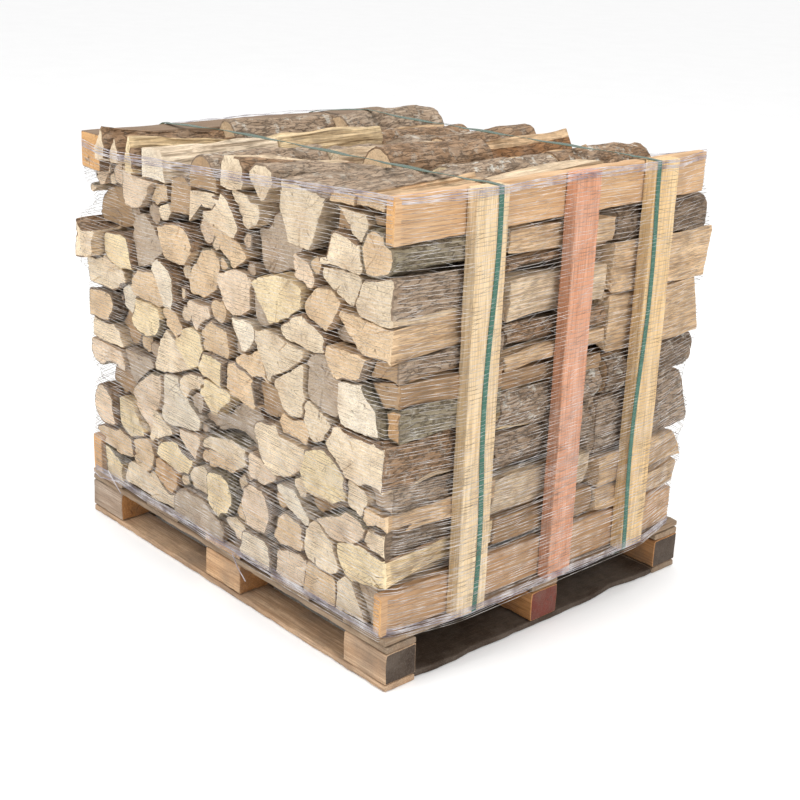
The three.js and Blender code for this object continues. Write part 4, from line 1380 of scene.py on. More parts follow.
@dataclass
class LogRow:
    """One row of short logs, from the deck up to the top course."""

    row: str
    finish: bpy.types.Material
    lofter: Lofter
    near: float
    far: float
    seed: int
    side: float = 0.585
    floor: float = 0.1285
    gap: float = 0.0016
    crest: float = 1.03
    placed: list[Array] = field(default_factory=list)
    cuts: list[Cut] = field(default_factory=list)

    def top_nodes(self) -> list[str]:
        """The frame's top logs of this row, in order from the left."""
        found = [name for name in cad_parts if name.startswith(f"top_log_{self.row}_")]
        return sorted(found, key=lambda name: int(name.rsplit("_", 1)[1]))

    def ceiling(self, x: Array) -> Array:
        """Height at which the logs under the top course stop, at each x.

        Args:
            x: Places across the load.

        Returns:
            A height for each place.
        """
        limit = np.full(len(x), 1.0)
        covers = [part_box(name) for name in self.top_nodes()]
        spans = [(low[0], high[0], low[2]) for low, high in covers]
        spans += [(fill.left / 100, fill.right / 100, fill.bottom / 100) for fill in TOP_FILL[self.row]]
        for left, right, bottom in sorted(spans, key=lambda span: -span[2]):
            within = (x > left - 0.004) & (x < right + 0.004)
            limit[within] = min(bottom, self.crest)
        return limit - 0.0022

    def fitted(self, section: Section) -> Section | None:
        """Keeps an outline clear of the rails, the top course and the logs already placed.

        Args:
            section: The outline as drawn.

        Returns:
            The outline that fits, or None where nothing is left of it.
        """
        loop = section.loop.copy()
        loop = self.bounded(self.bounded(loop))
        centre = loop.mean(axis=0)
        for other in self.placed:
            if np.all(np.abs(other.mean(axis=0) - centre) > 0.2):
                continue
            hit = inside(loop, other)
            if not hit.any():
                continue
            share = np.ones(len(loop))
            for _ in range(14):
                trial = centre + (loop - centre) * share[:, None]
                still = inside(trial, other)
                share = np.where(still, share - 0.07, share)
            if np.any(share < 0.06):
                return None
            loop = centre + (loop - centre) * share[:, None]
            loop = eased(loop)
        if signed_area(loop) < 0.0004:
            return None
        return Section(loop, section.bark, section.pith)

    def place(self, cut: Cut) -> None:
        """Fits a log among the others and keeps it."""
        section = self.fitted(cut.section)
        if section is None:
            return
        cut.section = section
        self.placed.append(section.loop)
        self.cuts.append(cut)

    def bounded(self, loop: Array) -> Array:
        """An outline kept clear of the deck, the rails and the top course."""
        low = loop[:, 1] < 0.2345
        right = np.where(low | (loop[:, 1] > 0.977), 0.5555, self.side)
        left = np.where(low, -0.5435, np.where(loop[:, 1] > 0.9425, -0.4885, -self.side))
        x = np.clip(loop[:, 0], left, right)
        return np.stack([x, np.clip(loop[:, 1], self.floor, self.ceiling(x))], 1)

    def grow(self, rounds: int, stride: float = 0.0012) -> None:
        """Fattens every log into the gaps round it, so that the stack sits tight.

        Args:
            rounds: How many strides each log may grow.
            stride: The length of a stride.
        """
        free = [cut for cut in self.cuts if not cut.name]
        loops = [cut.section.loop for cut in free]
        middles = np.array([loop.mean(axis=0) for loop in loops])
        apart = np.linalg.norm(middles[:, None] - middles[None], axis=2)
        met = [np.zeros(len(loop), bool) for loop in loops]
        for _ in range(rounds):
            for i, loop in enumerate(loops):
                trial = self.bounded(loop + normals_of(loop) * stride)
                held = np.zeros(len(loop), bool)
                for j in np.nonzero((apart[i] < 0.17) & (apart[i] > 0))[0]:
                    held |= inside(trial, loops[j])
                loops[i] = np.where(held[:, None], loop, trial)
                met[i] |= held
        for cut, loop, held in zip(free, loops, met):
            cut.section.loop = np.where(held[:, None], eased(loop), 0.8 * loop + 0.2 * eased(loop))
        self.placed = [cut.section.loop for cut in free]

    def fill_gaps(self, smallest: float = 0.008, largest: float = 0.034) -> None:
        """Puts thin branch logs in the gaps that are left, largest first.

        Args:
            smallest: Least radius of a branch log, in metres.
            largest: Greatest radius of one, in metres.
        """
        draw = np.random.default_rng(self.seed + 5)
        xs = np.arange(-self.side + 0.012, self.side - 0.008, 0.0075)
        zs = np.arange(self.floor + 0.008, self.crest - 0.008, 0.0075)
        grid = np.array([(x, z) for x in xs for z in zs if x > -0.51 or not 0.37 < z < 0.46])
        low = grid[:, 1] < 0.2345
        room = np.minimum(self.side - np.abs(grid[:, 0]), grid[:, 1] - self.floor)
        room = np.where(low, np.minimum(room, 0.5435 - np.abs(grid[:, 0])), room)
        room = np.minimum(room, self.ceiling(grid[:, 0]) - grid[:, 1])
        high = grid[:, 1] > 0.94
        room = np.where(high, np.minimum(room, grid[:, 0] + 0.4885), room)
        room = np.where(grid[:, 1] > 0.97, np.minimum(room, 0.5555 - grid[:, 0]), room)
        for other in self.placed:
            away = np.linalg.norm(grid[:, None] - other[None], axis=2).min(axis=1)
            room = np.where(inside(grid, other), -1.0, np.minimum(room, away))
        for _ in range(160):
            i = int(np.argmax(room))
            size = min(float(room[i]), largest)
            if size < smallest:
                break
            angles = np.linspace(0, 2 * math.pi, 9)[:-1] + draw.uniform(0, 1)
            reach = size * draw.uniform(0.86, 1.0, 8)
            corners = grid[i] + np.stack([np.cos(angles), np.sin(angles)], 1) * reach[:, None]
            split = draw.random() < 0.4
            section = Section.drawn(corners, (1, 5) if split else (0, 0), 0.004, self.seed + i)
            back = draw.uniform(0.0, 0.022)
            near, far = self.near, self.far
            if self.row == "back":
                far -= back
            else:
                near += back
            wood = draw.choice([Wood.TAN, Wood.CREAM, Wood.GREY, Wood.PINK])
            hide = draw.choice([Bark.GREY, Bark.BROWN, Bark.SILVER, Bark.MOSS])
            self.place(Cut(section, wood, hide, near, far, self.seed + 3000 + i))
            away = np.linalg.norm(grid - grid[i], axis=1) - size
            room = np.minimum(room, away)

    def sets(self) -> dict[str, list[Cut]]:
        """The row's logs sorted into courses, by the height of their middles."""
        courses: dict[str, list[Cut]] = {}
        for cut in self.cuts:
            level = int((cut.section.loop[:, 1].mean() - self.floor) / 0.11) + 1
            name = cut.name or f"logs_{self.row}_course_{level}"
            courses.setdefault(name, []).append(cut)
        return courses

    def top_course(self) -> None:
        """Places the logs of the top course: the frame's own and those between them."""
        for i, (name, dress) in enumerate(zip(self.top_nodes(), TOP_LOGS[self.row])):
            vertices = np.array([v.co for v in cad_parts[name].data.vertices])
            near, far = vertices[:, 1].min(), vertices[:, 1].max()
            flat = np.unique(np.round(vertices[:, (0, 2)], 5), axis=0)
            middle = flat.mean(axis=0)
            angles = np.degrees(np.arctan2(flat[:, 1] - middle[1], flat[:, 0] - middle[0]))
            order = np.argsort(angles)
            corners, angles = flat[order], angles[order]
            section = Section.drawn(corners, None, 0.006, 500 + i)
            if dress.arc is not None:
                away = section.loop - section.loop.mean(axis=0)
                at = np.degrees(np.arctan2(away[:, 1], away[:, 0]))
                section.bark = (at >= dress.arc[0]) & (at <= dress.arc[1])
                section.pith = section.loop.mean(axis=0) - np.array([0.0, 0.022])
            cut = Cut(section, dress.wood, dress.hide, near, far, self.seed + 40 + i, True, dress.lichen)
            cut.name = f"{name}_log"
            cut.lift, cut.tilt = dress.lift / 1000, dress.tilt / 1000
            self.cuts.append(cut)
        for i, fill in enumerate(TOP_FILL[self.row]):
            left, right, bottom, top = fill.left, fill.right, fill.bottom, fill.top
            corners = [[left, bottom], [right, bottom], [right, top - 2.5], [(left + right) / 2 + 1, top]]
            corners = np.array([*corners, [left + 0.4, top - 1.6]]) / 100
            section = Section.drawn(corners, (2, 4) if fill.hide else None, 0.006, self.seed + 60 + i)
            hide = fill.hide or Bark.GREY
            near, far = self.near - 0.004 * (i % 3), self.far + 0.004 * (i % 2)
            cut = Cut(section, fill.wood, hide, near, far, self.seed + 70 + i, True, fill.lichen)
            cut.name = f"top_log_{self.row}_between_{i + 1}"
            self.cuts.append(cut)

    def side_logs(self, side: int, courses: tuple[SideLog, ...], seed: int) -> None:
        """Places the logs whose long sides show on the load's left or right.

        Args:
            side: 1 for the right side and -1 for the left.
            courses: The courses, from the bottom up.
            seed: Seed of their outlines.
        """
        draw = np.random.default_rng(seed)
        for i, course in enumerate(courses):
            low, high = course.low, course.high
            deep = draw.uniform(7.0, 10.5)
            face = self.side * 100 - draw.uniform(0.1, 1.8)
            tilt = draw.uniform(-0.9, 0.9)
            if course.kind is Kind.BARK:
                mid = (low + high) / 2
                corners = [[face - deep, low + 1], [face - 2.4, low], [face - 0.3, mid - 1.2]]
                corners += [[face, mid + 1], [face - 2.2, high], [face - deep, high - 1.2]]
                bark = (1, 4)
            else:
                corners = [[face - deep, low + 0.8], [face - 0.4 + tilt, low], [face, (low + high) / 2]]
                corners += [[face - 0.3 - tilt, high], [face - deep + 1.5, high - 0.4]]
                bark = None
            outline = np.array(corners) * (side, 1) / 100
            section = Section.drawn(outline, bark, 0.006, seed + i)
            near = self.near + draw.uniform(0, 0.008)
            far = self.far - draw.uniform(0, 0.006) + course.reach / 100
            cut = Cut(section, course.wood, course.hide, near, far, seed + 20 + i, True, course.lichen)
            cut.slant = course.slant
            cut.tilt = draw.uniform(-0.006, 0.006)
            self.place(cut)

    def build(self) -> list[bpy.types.Object]:
        """Makes the row's pieces.

        Returns:
            One piece for each course and one for each of the frame's top logs.
        """
        made = []
        facing = 1 if self.row == "back" else -1
        for name, cuts in sorted(self.sets().items()):
            stock = Stock()
            for cut in cuts:
                cut.section = cut.section.shrunk(self.gap)
                self.lofter.loft(stock, cut, facing)
            piece = stock.piece(name, self.finish, "firewood")
            node = name.removesuffix("_log")
            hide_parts(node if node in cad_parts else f"log_stack_{self.row}")
            made.append(piece)
        return made


def random_courses(seed: int) -> tuple[SideLog, ...]:
    """Courses for a side of the load, in the mix of bark and split faces that the load has."""
    draw = np.random.default_rng(seed)
    courses = []
    low = 23.4
    while low < 88.0:
        high = min(low + draw.uniform(6.0, 10.5), 94.0)
        kind = draw.choice([Kind.SPLIT, Kind.BARK])
        wood = draw.choice([Wood.CREAM, Wood.TAN, Wood.PINK, Wood.BROWN])
        hide = draw.choice([Bark.GREY, Bark.DARK, Bark.BROWN, Bark.MOSS])
        lichen = draw.choice([0.0, 0.1, 0.6])
        courses.append(SideLog(low, high, wood, kind, hide, lichen, 0.0, draw.uniform(-0.2, 0.2)))
        low = high + 0.9
    return tuple(courses)


@dataclass
class LogLoad:
    """The three rows of logs."""

    finish: bpy.types.Material
    lofter: Lofter = field(default_factory=Lofter)

    def front_row(self) -> LogRow:
        """Lays out the front row from its drawn log ends."""
        row = LogRow("front", self.finish, self.lofter, -0.49, -0.1715, 100)
        row.top_course()
        draw = np.random.default_rng(31)
        for i, end in enumerate(FRONT_ENDS):
            section = self.end_section(end, 2000 + i)
            hide = draw.choice([Bark.GREY, Bark.GREY, Bark.BROWN, Bark.MOSS, Bark.DARK])
            near = row.near - end.proud / 1000 + draw.uniform(-0.003, 0.003)
            outer = np.abs(section.loop[:, 0]).max() > 0.565
            far = row.far - draw.uniform(0, 0.014)
            cut = Cut(section, end.wood, hide, max(near, -0.531), far, 2100 + i, bool(outer))
            cut.lichen = float(draw.choice([0.0, 0.1, 0.35]))
            row.place(cut)
        row.grow(8)
        row.fill_gaps()
        row.grow(4)
        return row

    def middle_row(self) -> LogRow:
        """Lays out the middle row: shown sides and top, and plain logs in the core."""
        row = LogRow("middle", self.finish, self.lofter, -0.165, 0.165, 200)
        row.top_course()
        row.side_logs(1, RIGHT_MIDDLE, 2300)
        row.side_logs(-1, random_courses(41), 2350)
        self.core(row, 2400)
        return row

    def back_row(self) -> LogRow:
        """Lays out the back row: its own sides and top, and ends laid like the front ones."""
        row = LogRow("back", self.finish, self.lofter, 0.171, 0.492, 300)
        row.top_course()
        row.side_logs(1, RIGHT_BACK, 2500)
        row.side_logs(-1, random_courses(43), 2550)
        draw = np.random.default_rng(37)
        for i, end in enumerate(FRONT_ENDS):
            section = self.end_section(end, 2600 + i)
            if np.abs(section.loop[:, 0]).max() > 0.53:
                continue
            wood = draw.choice([end.wood, Wood.CREAM, Wood.TAN, Wood.PINK])
            hide = draw.choice([Bark.GREY, Bark.BROWN, Bark.MOSS, Bark.DARK])
            far = row.far + min(end.proud, 8) / 1000
            row.place(Cut(section, wood, hide, row.near, far, 2700 + i))
        row.grow(8)
        row.fill_gaps()
        row.grow(4)
        return row

    @staticmethod
    def end_section(end: LogEnd, seed: int) -> Section:
        """Reads a log end's corners, given as pairs of numbers in centimetres."""
        numbers = np.array([float(part) for part in end.corners.split()]) / 100
        return Section.drawn(numbers.reshape(-1, 2), end.bark, 0.0038, seed)

    @staticmethod
    def core(row: LogRow, seed: int) -> None:
        """Stacks the logs that nothing shows of but their tops and thin slits.

        Args:
            row: The row to fill.
            seed: Seed of the logs' outlines.
        """
        draw = np.random.default_rng(seed)
        size = 0.104
        for level in range(8):
            for i in range(11):
                x = -0.52 + i * size + (level % 2) * size / 2
                z = 0.185 + level * size * 0.96
                if abs(x) > 0.5 or z > 0.93:
                    continue
                angles = np.linspace(0, 2 * math.pi, 8)[:-1] + draw.uniform(0, 1)
                reach = draw.uniform(0.044, 0.054, 7)
                corners = np.stack([x + np.cos(angles) * reach, z + np.sin(angles) * reach], 1)
                section = Section.drawn(corners, (0, 4), 0.02, seed + i)
                wood = draw.choice([Wood.TAN, Wood.GREY, Wood.PINK])
                row.place(Cut(section, wood, Bark.BROWN, row.near, row.far, seed + level * 20 + i))

    def build(self) -> list[bpy.types.Object]:
        """Makes every row's pieces."""
        made = []
        for row in (self.front_row(), self.middle_row(), self.back_row()):
            log.info("%s row: %d logs", row.row, len(row.cuts))
            made += row.build()
        return made


# ------------------------------------------------------------------ straps


@dataclass
class Straps:
    """The two flat green bands that run round battens, load and deck."""

    width: float = 0.0138
    thickness: float = 0.0009
    step: float = 0.012
    drift: float = 0.02

    def route(self, place: str) -> Array:
        """The band's loop in the XZ plane, repeated from the frame in metres.

        Args:
            place: "front" or "back".

        Returns:
            (n, 2) corners of the loop.
        """
        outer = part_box("batten_right_front")[1][0] + 0.0006
        low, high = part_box("batten_right_front")[0][2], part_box("batten_right_front")[1][2]
        left_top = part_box("batten_left_front")[1][2]
        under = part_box("pallet_deck_board_1")[0][2] - 0.0006
        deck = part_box("pallet_deck_board_5")[1][0] + 0.001
        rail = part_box("rail_left_top")
        if place == "front":
            over = [(0.39, 1.072), (0.15, 1.0635), (0.0, 1.060), (-0.29, 1.055), (-0.45, 1.0455)]
        else:
            over = [(0.36, 1.0745), (0.12, 1.0665), (-0.06, 1.060), (-0.23, 1.054), (-0.39, 1.056)]
        points = [(-deck, under), (deck, under), (outer, low), (outer, high + 0.0006)]
        beam = rail[1][2] - Frame.beam_sag * (0.25 if place == "front" else 0.78)
        points += [(outer - 0.035, high + 0.0012), *over, (rail[0][0] - 0.0005, beam + 0.0012)]
        points += [(-outer, left_top + 0.0008), (-outer, low)]
        return np.array(points)

    def build(self, finish: bpy.types.Material) -> list[bpy.types.Object]:
        """Makes both bands."""
        made = []
        for place in ("front", "back"):
            low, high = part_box(f"strap_{place}")
            centre = (low[1] + high[1]) / 2
            made.append(self._band(place, centre, finish))
        return made

    def _band(self, place: str, centre: float, finish: bpy.types.Material) -> bpy.types.Object:
        """Makes one band as a closed strip.

        Args:
            place: "front" or "back".
            centre: The band's middle along Y.
            finish: Its plastic.

        Returns:
            The band's piece.
        """
        corners = self.route(place)
        points = []
        for i, a in enumerate(corners):
            b = corners[(i + 1) % len(corners)]
            pieces = max(1, int(np.linalg.norm(b - a) / self.step))
            points += [a + (b - a) * t / pieces for t in range(pieces)]
        loop = np.array(points)
        out = normals_of(loop)
        count = len(loop)
        on_top = np.clip((loop[:, 1] - 1.02) / 0.03, 0, 1) * (np.abs(loop[:, 0]) < 0.57)
        sway = np.sin(loop[:, 0] * 5.0 + (1.0 if place == "front" else 3.0)) * self.drift * on_top * 0.5
        beside = np.clip((0.9 - loop[:, 1]) / 0.4, 0, 1) * (loop[:, 0] > 0.55)
        sway += (0.006 * np.sin(loop[:, 1] * 9.0 + centre * 4) - 0.006 * beside) * (loop[:, 0] > 0.55)
        twist = np.sin(loop[:, 0] * 23.0) * 0.35 * on_top
        along = np.concatenate([[0], np.cumsum(np.linalg.norm(np.diff(loop, axis=0), axis=1))])
        rings = []
        grain = []
        for across, lift in ((-1, 0), (1, 0), (1, 1), (-1, 1)):
            reach = across * self.width / 2
            y = centre + sway + reach * np.cos(twist)
            rise = lift * self.thickness + reach * np.sin(twist) * 0.5 + np.abs(twist) * 0.004
            ring = np.stack([loop[:, 0] + out[:, 0] * rise, y, loop[:, 1] + out[:, 1] * rise], 1)
            rings.append(ring)
            grain.append(np.stack([np.full(count, reach), along, np.full(count, lift * 0.001)], 1))
        faces = []
        for i in range(count):
            j = (i + 1) % count
            for side in range(4):
                other = (side + 1) % 4
                faces.append((side * count + i, side * count + j, other * count + j, other * count + i))
        stock = Stock()
        everything = np.concatenate(rings)
        faces = outward(everything, faces)
        plain = [0.0] * len(faces)
        stock.add(everything, faces, np.concatenate(grain), (0, 0, 0), (0, 0, 0), 0.0, plain, plain)
        made = stock.piece(f"strap_{place}_band", finish, "strap_plastic")
        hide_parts(f"strap_{place}")
        return made


# ------------------------------------------------------------------ net


@dataclass
class NetWrap:
    """The knitted net round the four sides, with its roped edges."""

    pitch: float = 0.0086
    bottom: float = 0.128
    top: float = 1.03
    drop: float = 0.93
    open_share: float = 0.305
    thread: float = 0.00110
    shoulder: float = 1.0
    strand: float = 0.0013
    strands: int = 9
    spread: float = 0.017
    tails: tuple[tuple[Point, ...], ...] = (
        ((-0.568, -0.516, 0.129), (-0.53, -0.519, 0.125), (-0.439, -0.517, 0.142)),
        ((-0.489, -0.519, 0.158), (-0.462, -0.52, 0.138), (-0.431, -0.517, 0.112)),
        ((0.066, -0.516, 0.13), (0.09, -0.519, 0.105), (0.118, -0.516, 0.078)),
    )

    def hull_at(self, cloud: Array, height: float) -> Array:
        """Convex outline of the load around a height, as a closed loop of XY points.

        Args:
            cloud: (n, 3) points of what the net rests on.
            height: The height.

        Returns:
            (n, 2) corners in order.
        """
        near = cloud[np.abs(cloud[:, 2] - height) < 0.03][:, :2]
        points = sorted(set(map(tuple, np.round(near, 4).tolist())))

        def half(sequence: list[tuple[float, float]]) -> list[tuple[float, float]]:
            """One side of the convex outline."""
            chain: list[tuple[float, float]] = []
            for p in sequence:
                while len(chain) > 1:
                    (ax, ay), (bx, by) = chain[-2], chain[-1]
                    if (bx - ax) * (p[1] - ay) - (by - ay) * (p[0] - ax) > 0:
                        break
                    chain.pop()
                chain.append(p)
            return chain[:-1]

        return np.array(half(points) + half(points[::-1]))

    def wrapped(self, loop: Array, count: int) -> Array:
        """A loop resampled by direction from the middle, so that levels can be matched.

        Args:
            loop: The hull's corners.
            count: How many points to give.

        Returns:
            (count, 2) points round the load.
        """
        closed = np.concatenate([loop, loop[:1]])
        lengths = np.linalg.norm(np.diff(closed, axis=0), axis=1)
        at = np.concatenate([[0], np.cumsum(lengths)])
        fine = np.linspace(0, at[-1], 1200, endpoint=False)
        dense = np.stack([np.interp(fine, at, closed[:, 0]), np.interp(fine, at, closed[:, 1])], 1)
        angles = np.arctan2(dense[:, 1] * 1.2, dense[:, 0])
        order = np.argsort(angles)
        angles, dense = angles[order], dense[order]
        wanted = np.linspace(-math.pi, math.pi, count, endpoint=False) + 0.001
        both = [np.interp(wanted, angles, dense[:, axis], period=2 * math.pi) for axis in (0, 1)]
        return np.stack(both, 1)

    def build(
        self, pieces: list[bpy.types.Object], thread: bpy.types.Material, rope: bpy.types.Material
    ) -> None:
        """Winds the net round the pieces.

        Args:
            pieces: What the net rests on.
            thread: The threads' finish.
            rope: The roped edges' finish.
        """
        cloud = np.concatenate([np.array([v.co for v in piece.data.vertices]) for piece in pieces])
        count = 132
        levels = np.arange(self.bottom, self.top, self.pitch)
        skins = {}
        for height in np.arange(self.bottom - 0.02, 1.1, 0.03):
            loop = self.wrapped(self.hull_at(cloud, height), count)
            skins[round(float(height), 3)] = loop + normals_of(loop) * 0.0016
        keys = np.array(sorted(skins))
        stack = np.stack([skins[k] for k in keys])

        def on_skin(height: Array) -> Array:
            """Points of the wrapped surface, one for each direction, at its own height."""
            level = np.minimum(height, self.shoulder)
            spot = np.clip((level - keys[0]) / (keys[1] - keys[0]), 0, len(keys) - 1.001)
            i = spot.astype(int)
            t = (spot - i)[:, None]
            column = np.arange(count)
            flat = stack[i, column] * (1 - t) + stack[i + 1, column] * t
            return np.concatenate([flat, height[:, None]], 1)

        turns = np.linspace(0, 2 * math.pi, count, endpoint=False)
        runs = []
        draw = np.random.default_rng(77)
        for i, level in enumerate(levels):
            slope = 0.006 * np.sin(turns + i * 0.05) + 0.0022 * np.sin(turns * 5 + draw.uniform(0, 6))
            jitter = draw.uniform(-0.0016, 0.0016) + 0.0012 * np.sin(turns * 13 + draw.uniform(0, 6))
            share = max(0.0, (level - 0.6) / (self.top - 0.6))
            rise = (self._top_height(np.degrees(turns) - 180) - self.top) * share
            height = np.maximum(level + slope * (1 - level) + jitter + rise, self.bottom - 0.01)
            runs.append(on_skin(height))
        for i, level in enumerate(np.arange(self.bottom, 0.50, self.pitch * 1.5)):
            slope = 0.016 * np.sin(turns * 1.0 + 2.0) + 0.003 * np.sin(turns * 4 + draw.uniform(0, 6))
            runs.append(on_skin(np.clip(level + slope, self.bottom - 0.01, 0.55)))
        points, faces = [], []
        total = 0
        for run in runs:
            total = self._tube(points, faces, run, self.thread * draw.uniform(0.8, 1.1) / 2, 3, total, True)
        for a, b in zip(runs[: len(levels)], runs[1 : len(levels)]):
            offset = int(draw.integers(0, 3))
            for j in range(offset, count, 3):
                k = (j + 1) % count
                end = b[j] if (j // 3) % 2 else b[k]
                start = a[k] if (j // 3) % 2 else a[j]
                total = self._tube(points, faces, np.array([start, end]), 0.00032, 3, total, False)
        net = self._object("net_threads", points, faces, thread)
        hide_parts("net_wrap")
        angle = np.degrees(turns) - 180
        top_edge = self._top_height(angle)
        bottom_edge = np.full(count, self.bottom + 0.008)
        ropes = [self._rope(on_skin, top_edge, rope, "net_top_rope", 5)]
        ropes.append(self._rope(on_skin, bottom_edge, rope, "net_bottom_rope", 6, self.tails))

    def _rope(
        self,
        on_skin: Callable[[Array], Array],
        height: Array,
        finish: bpy.types.Material,
        name: str,
        seed: int,
        tails: tuple[tuple[Point, ...], ...] = (),
    ) -> bpy.types.Object:
        """Gathers one edge of the net into a loose rope of strands.

        Args:
            on_skin: Gives the points of the wrapped surface at their heights.
            height: The rope's height in each direction.
            finish: The rope's finish.
            name: The piece's name.
            seed: Seed of the strands' wander.
            tails: Loose ends that hang from the rope, as points.

        Returns:
            The rope's piece.
        """
        points, faces = [], []
        total = 0
        draw = np.random.default_rng(seed)
        turns = np.linspace(0, 2 * math.pi, len(height), endpoint=False)
        for strand in range(self.strands):
            wave = np.sin(turns * draw.integers(9, 21) + draw.uniform(0, 6)) * 0.0022
            wave += draw.normal(0, 0.0008, len(turns))
            spread = (strand / (self.strands - 1) - 0.5) * self.spread
            run = on_skin(height + wave + spread)
            total = self._tube(points, faces, run, self.strand / 2, 4, total, True)
        for tail in tails:
            total = self._tube(points, faces, np.array(tail), self.strand, 5, total, False)
        return self._object(name, points, faces, finish)

    @staticmethod
    def _top_height(angle: Array) -> Array:
        """Height of the roped top edge by direction in degrees: lowest along the back."""
        places = [-180, -134, -120, -98, -78, -62, -47, 0, 45, 56, 75, 120, 134, 180]
        heights = [1.02, 1.008, 1.008, 1.027, 1.037, 1.056, 1.07, 1.077, 1.068, 1.03, 1.0, 0.998, 1.01, 1.02]
        return np.interp(angle, places, heights)

    @staticmethod
    def _tube(
        points: list[Array],
        faces: list[tuple[int, ...]],
        path: Array,
        radius: float,
        sides: int,
        start: int,
        closed: bool,
    ) -> int:
        """Adds a thin tube along a path.

        Args:
            points: Vertex arrays so far.
            faces: Faces so far.
            path: (n, 3) points.
            radius: The tube's radius.
            sides: How many sides it has.
            start: Vertices so far.
            closed: Whether the path joins itself.

        Returns:
            The new number of vertices.
        """
        count = len(path)
        along = np.roll(path, -1, axis=0) - np.roll(path, 1, axis=0)
        if not closed:
            along[0], along[-1] = path[1] - path[0], path[-1] - path[-2]
        along /= np.maximum(np.linalg.norm(along, axis=1), 1e-9)[:, None]
        up = np.array([0.0, 0.0, 1.0]) if closed else np.array([0.35, 0.93, 0.0])
        side = np.cross(along, up)
        side /= np.maximum(np.linalg.norm(side, axis=1), 1e-9)[:, None]
        over = np.cross(side, along)
        for s in range(sides):
            angle = 2 * math.pi * s / sides
            points.append(path + (side * math.cos(angle) + over * math.sin(angle)) * radius)
        last = count if closed else count - 1
        for i in range(last):
            j = (i + 1) % count
            for s in range(sides):
                here = start + s * count
                beyond = start + (s + 1) % sides * count
                faces.append((here + i, beyond + i, beyond + j, here + j))
        if not closed:
            faces.append(tuple(start + s * count for s in range(sides))[::-1])
            faces.append(tuple(start + s * count + count - 1 for s in range(sides)))
        return start + sides * count

    @staticmethod
    def _object(
        name: str, points: list[Array], faces: list[tuple[int, ...]], finish: bpy.types.Material
    ) -> bpy.types.Object:
        """Makes the gathered tubes one piece.

        Args:
            name: The piece's name.
            points: Vertex arrays.
            faces: Corner indices of each face.
            finish: The thread's finish.

        Returns:
            The new piece.
        """
        mesh = bpy.data.meshes.new(name)
        mesh.from_pydata(np.concatenate(points).tolist(), [], faces)
        mesh.materials.append(finish)
        mesh.validate()
        made = bpy.data.objects.new(name, mesh)
        bpy.context.scene.collection.objects.link(made)
        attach(made, "root")
        log.info("%s: %d faces", name, len(mesh.polygons))
        return made


# ------------------------------------------------------------------ studio


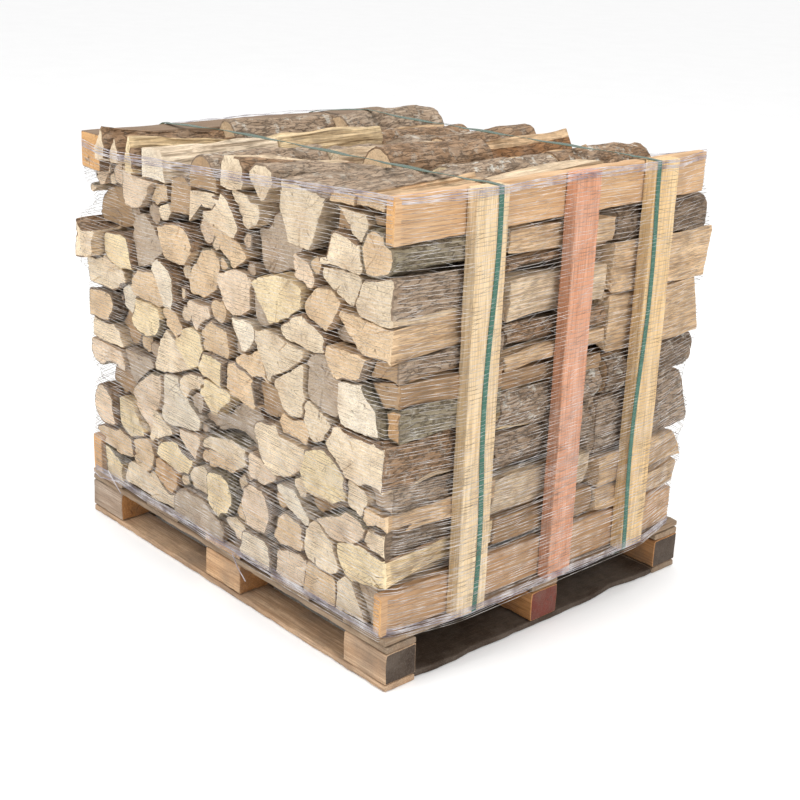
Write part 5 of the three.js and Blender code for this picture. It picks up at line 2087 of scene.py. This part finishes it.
@dataclass(frozen=True)
class Studio:
    """The pale floor, the soft lights and the camera."""

    azimuth: float = 47.3544
    elevation: float = 20.0073
    roll: float = 2.1492
    distance: float = 3.5671
    target: tuple[float, float, float] = (0.0946, -0.0207, 0.4195)
    lens: float = 63.912
    room: float = 90.0

    def camera(self) -> bpy.types.Object:
        """Sets the camera at its viewing angle."""
        data = bpy.data.cameras.new("camera")
        data.lens, data.sensor_width = self.lens, 36.0
        camera = bpy.data.objects.new("camera", data)
        bpy.context.scene.collection.objects.link(camera)
        a, e, r = (math.radians(v) for v in (self.azimuth, self.elevation, self.roll))
        back = Vector((math.sin(a) * math.cos(e), -math.cos(a) * math.cos(e), math.sin(e)))
        right = (-back).cross(Vector((0, 0, 1))).normalized()
        up = right.cross(-back)
        turned = right * math.cos(r) + up * math.sin(r)
        upright = up * math.cos(r) - right * math.sin(r)
        matrix = Matrix((turned, upright, back)).transposed().to_4x4()
        matrix.translation = Vector(self.target) + back * self.distance
        camera.matrix_world = matrix
        bpy.context.scene.camera = camera
        return camera

    def floor(self) -> bpy.types.Object:
        """Lays the floor."""
        bpy.ops.mesh.primitive_plane_add(size=self.room, location=(0, 0, -0.0005))
        floor = bpy.context.object
        floor.name = "studio_floor"
        material, bench, shader = new_material("studio_floor")
        cloud = bench.noise(bench.node("ShaderNodeTexCoord").outputs["Object"], 3.0)
        colour = bench.mix(bench.span(cloud, 0.3, 0.7), (0.94, 0.94, 0.94, 1), (0.96, 0.96, 0.96, 1))
        bench.tree.links.new(colour, shader.inputs["Base Color"])
        shader.inputs["Roughness"].default_value = 0.9
        floor.data.materials.append(material)
        return floor

    def lights(self) -> None:
        """Hangs the soft boxes and lights the room."""
        for name, place, size, power in (
            ("key", (-0.6, -4.2, 4.6), 2.4, 132.0),
            ("side", (4.8, -0.6, 3.2), 2.4, 100.0),
            ("top", (0.3, 0.4, 5.4), 3.0, 70.0),
        ):
            data = bpy.data.lights.new(name, "AREA")
            data.size, data.energy = size, power
            lamp = bpy.data.objects.new(name, data)
            bpy.context.scene.collection.objects.link(lamp)
            lamp.location = place
            lamp.rotation_euler = (Vector((0, 0, 0.5)) - Vector(place)).to_track_quat("-Z", "Y").to_euler()
        world = bpy.data.worlds.new("room")
        world.use_nodes = True
        background = world.node_tree.nodes["Background"]
        background.inputs[0].default_value = (1.0, 1.0, 1.0, 1)
        background.inputs[1].default_value = 1.0
        bpy.context.scene.world = world
        bpy.context.scene.view_settings.view_transform = "Standard"


def main() -> None:
    """Builds the whole load in order."""
    logging.basicConfig(level=logging.INFO, format="%(message)s")
    studio = Studio()
    studio.camera()
    studio.floor()
    studio.lights()
    effects = Effects()
    split_log = SplitLogFinish().material(effects)
    pallet_wood = SawnFinish("pallet_wood", (0.58, 0.5, 0.43), (0.15, 0.12, 0.095), 0.6, 0.5)
    rail_wood = SawnFinish("rail_wood", (0.76, 0.66, 0.55), (0.33, 0.25, 0.17), 0.35, 0.45)
    batten_wood = SawnFinish("batten_wood", (0.84, 0.74, 0.6), (0.42, 0.36, 0.28), 0.28, 0.3)
    stained_wood = SawnFinish("stained_batten_wood", (0.86, 0.72, 0.6), (0.5, 0.38, 0.33), 0.4, 0.4)
    PalletDeck().build(pallet_wood.material(effects))
    timbers = (rail_wood, batten_wood, stained_wood)
    pieces = Frame().build(*(finish.material(effects) for finish in timbers))
    pieces += LogLoad(split_log).build()
    Straps().build(StrapFinish().material())
    # The thread's darker second tone is painted shadow of the threads on pale wood.
    thread = NetFinish("net_thread", shade("ece9e6"), shade("82786f"), 0.68).material()
    # The rope's purple-grey second tone is partly the rope's own colour and partly painted shadow.
    rope = NetFinish("net_rope", shade("e2dee0"), shade("958c98"), 0.6).material()
    NetWrap().build(pieces, thread, rope)


if __name__ == "__main__":
    main()
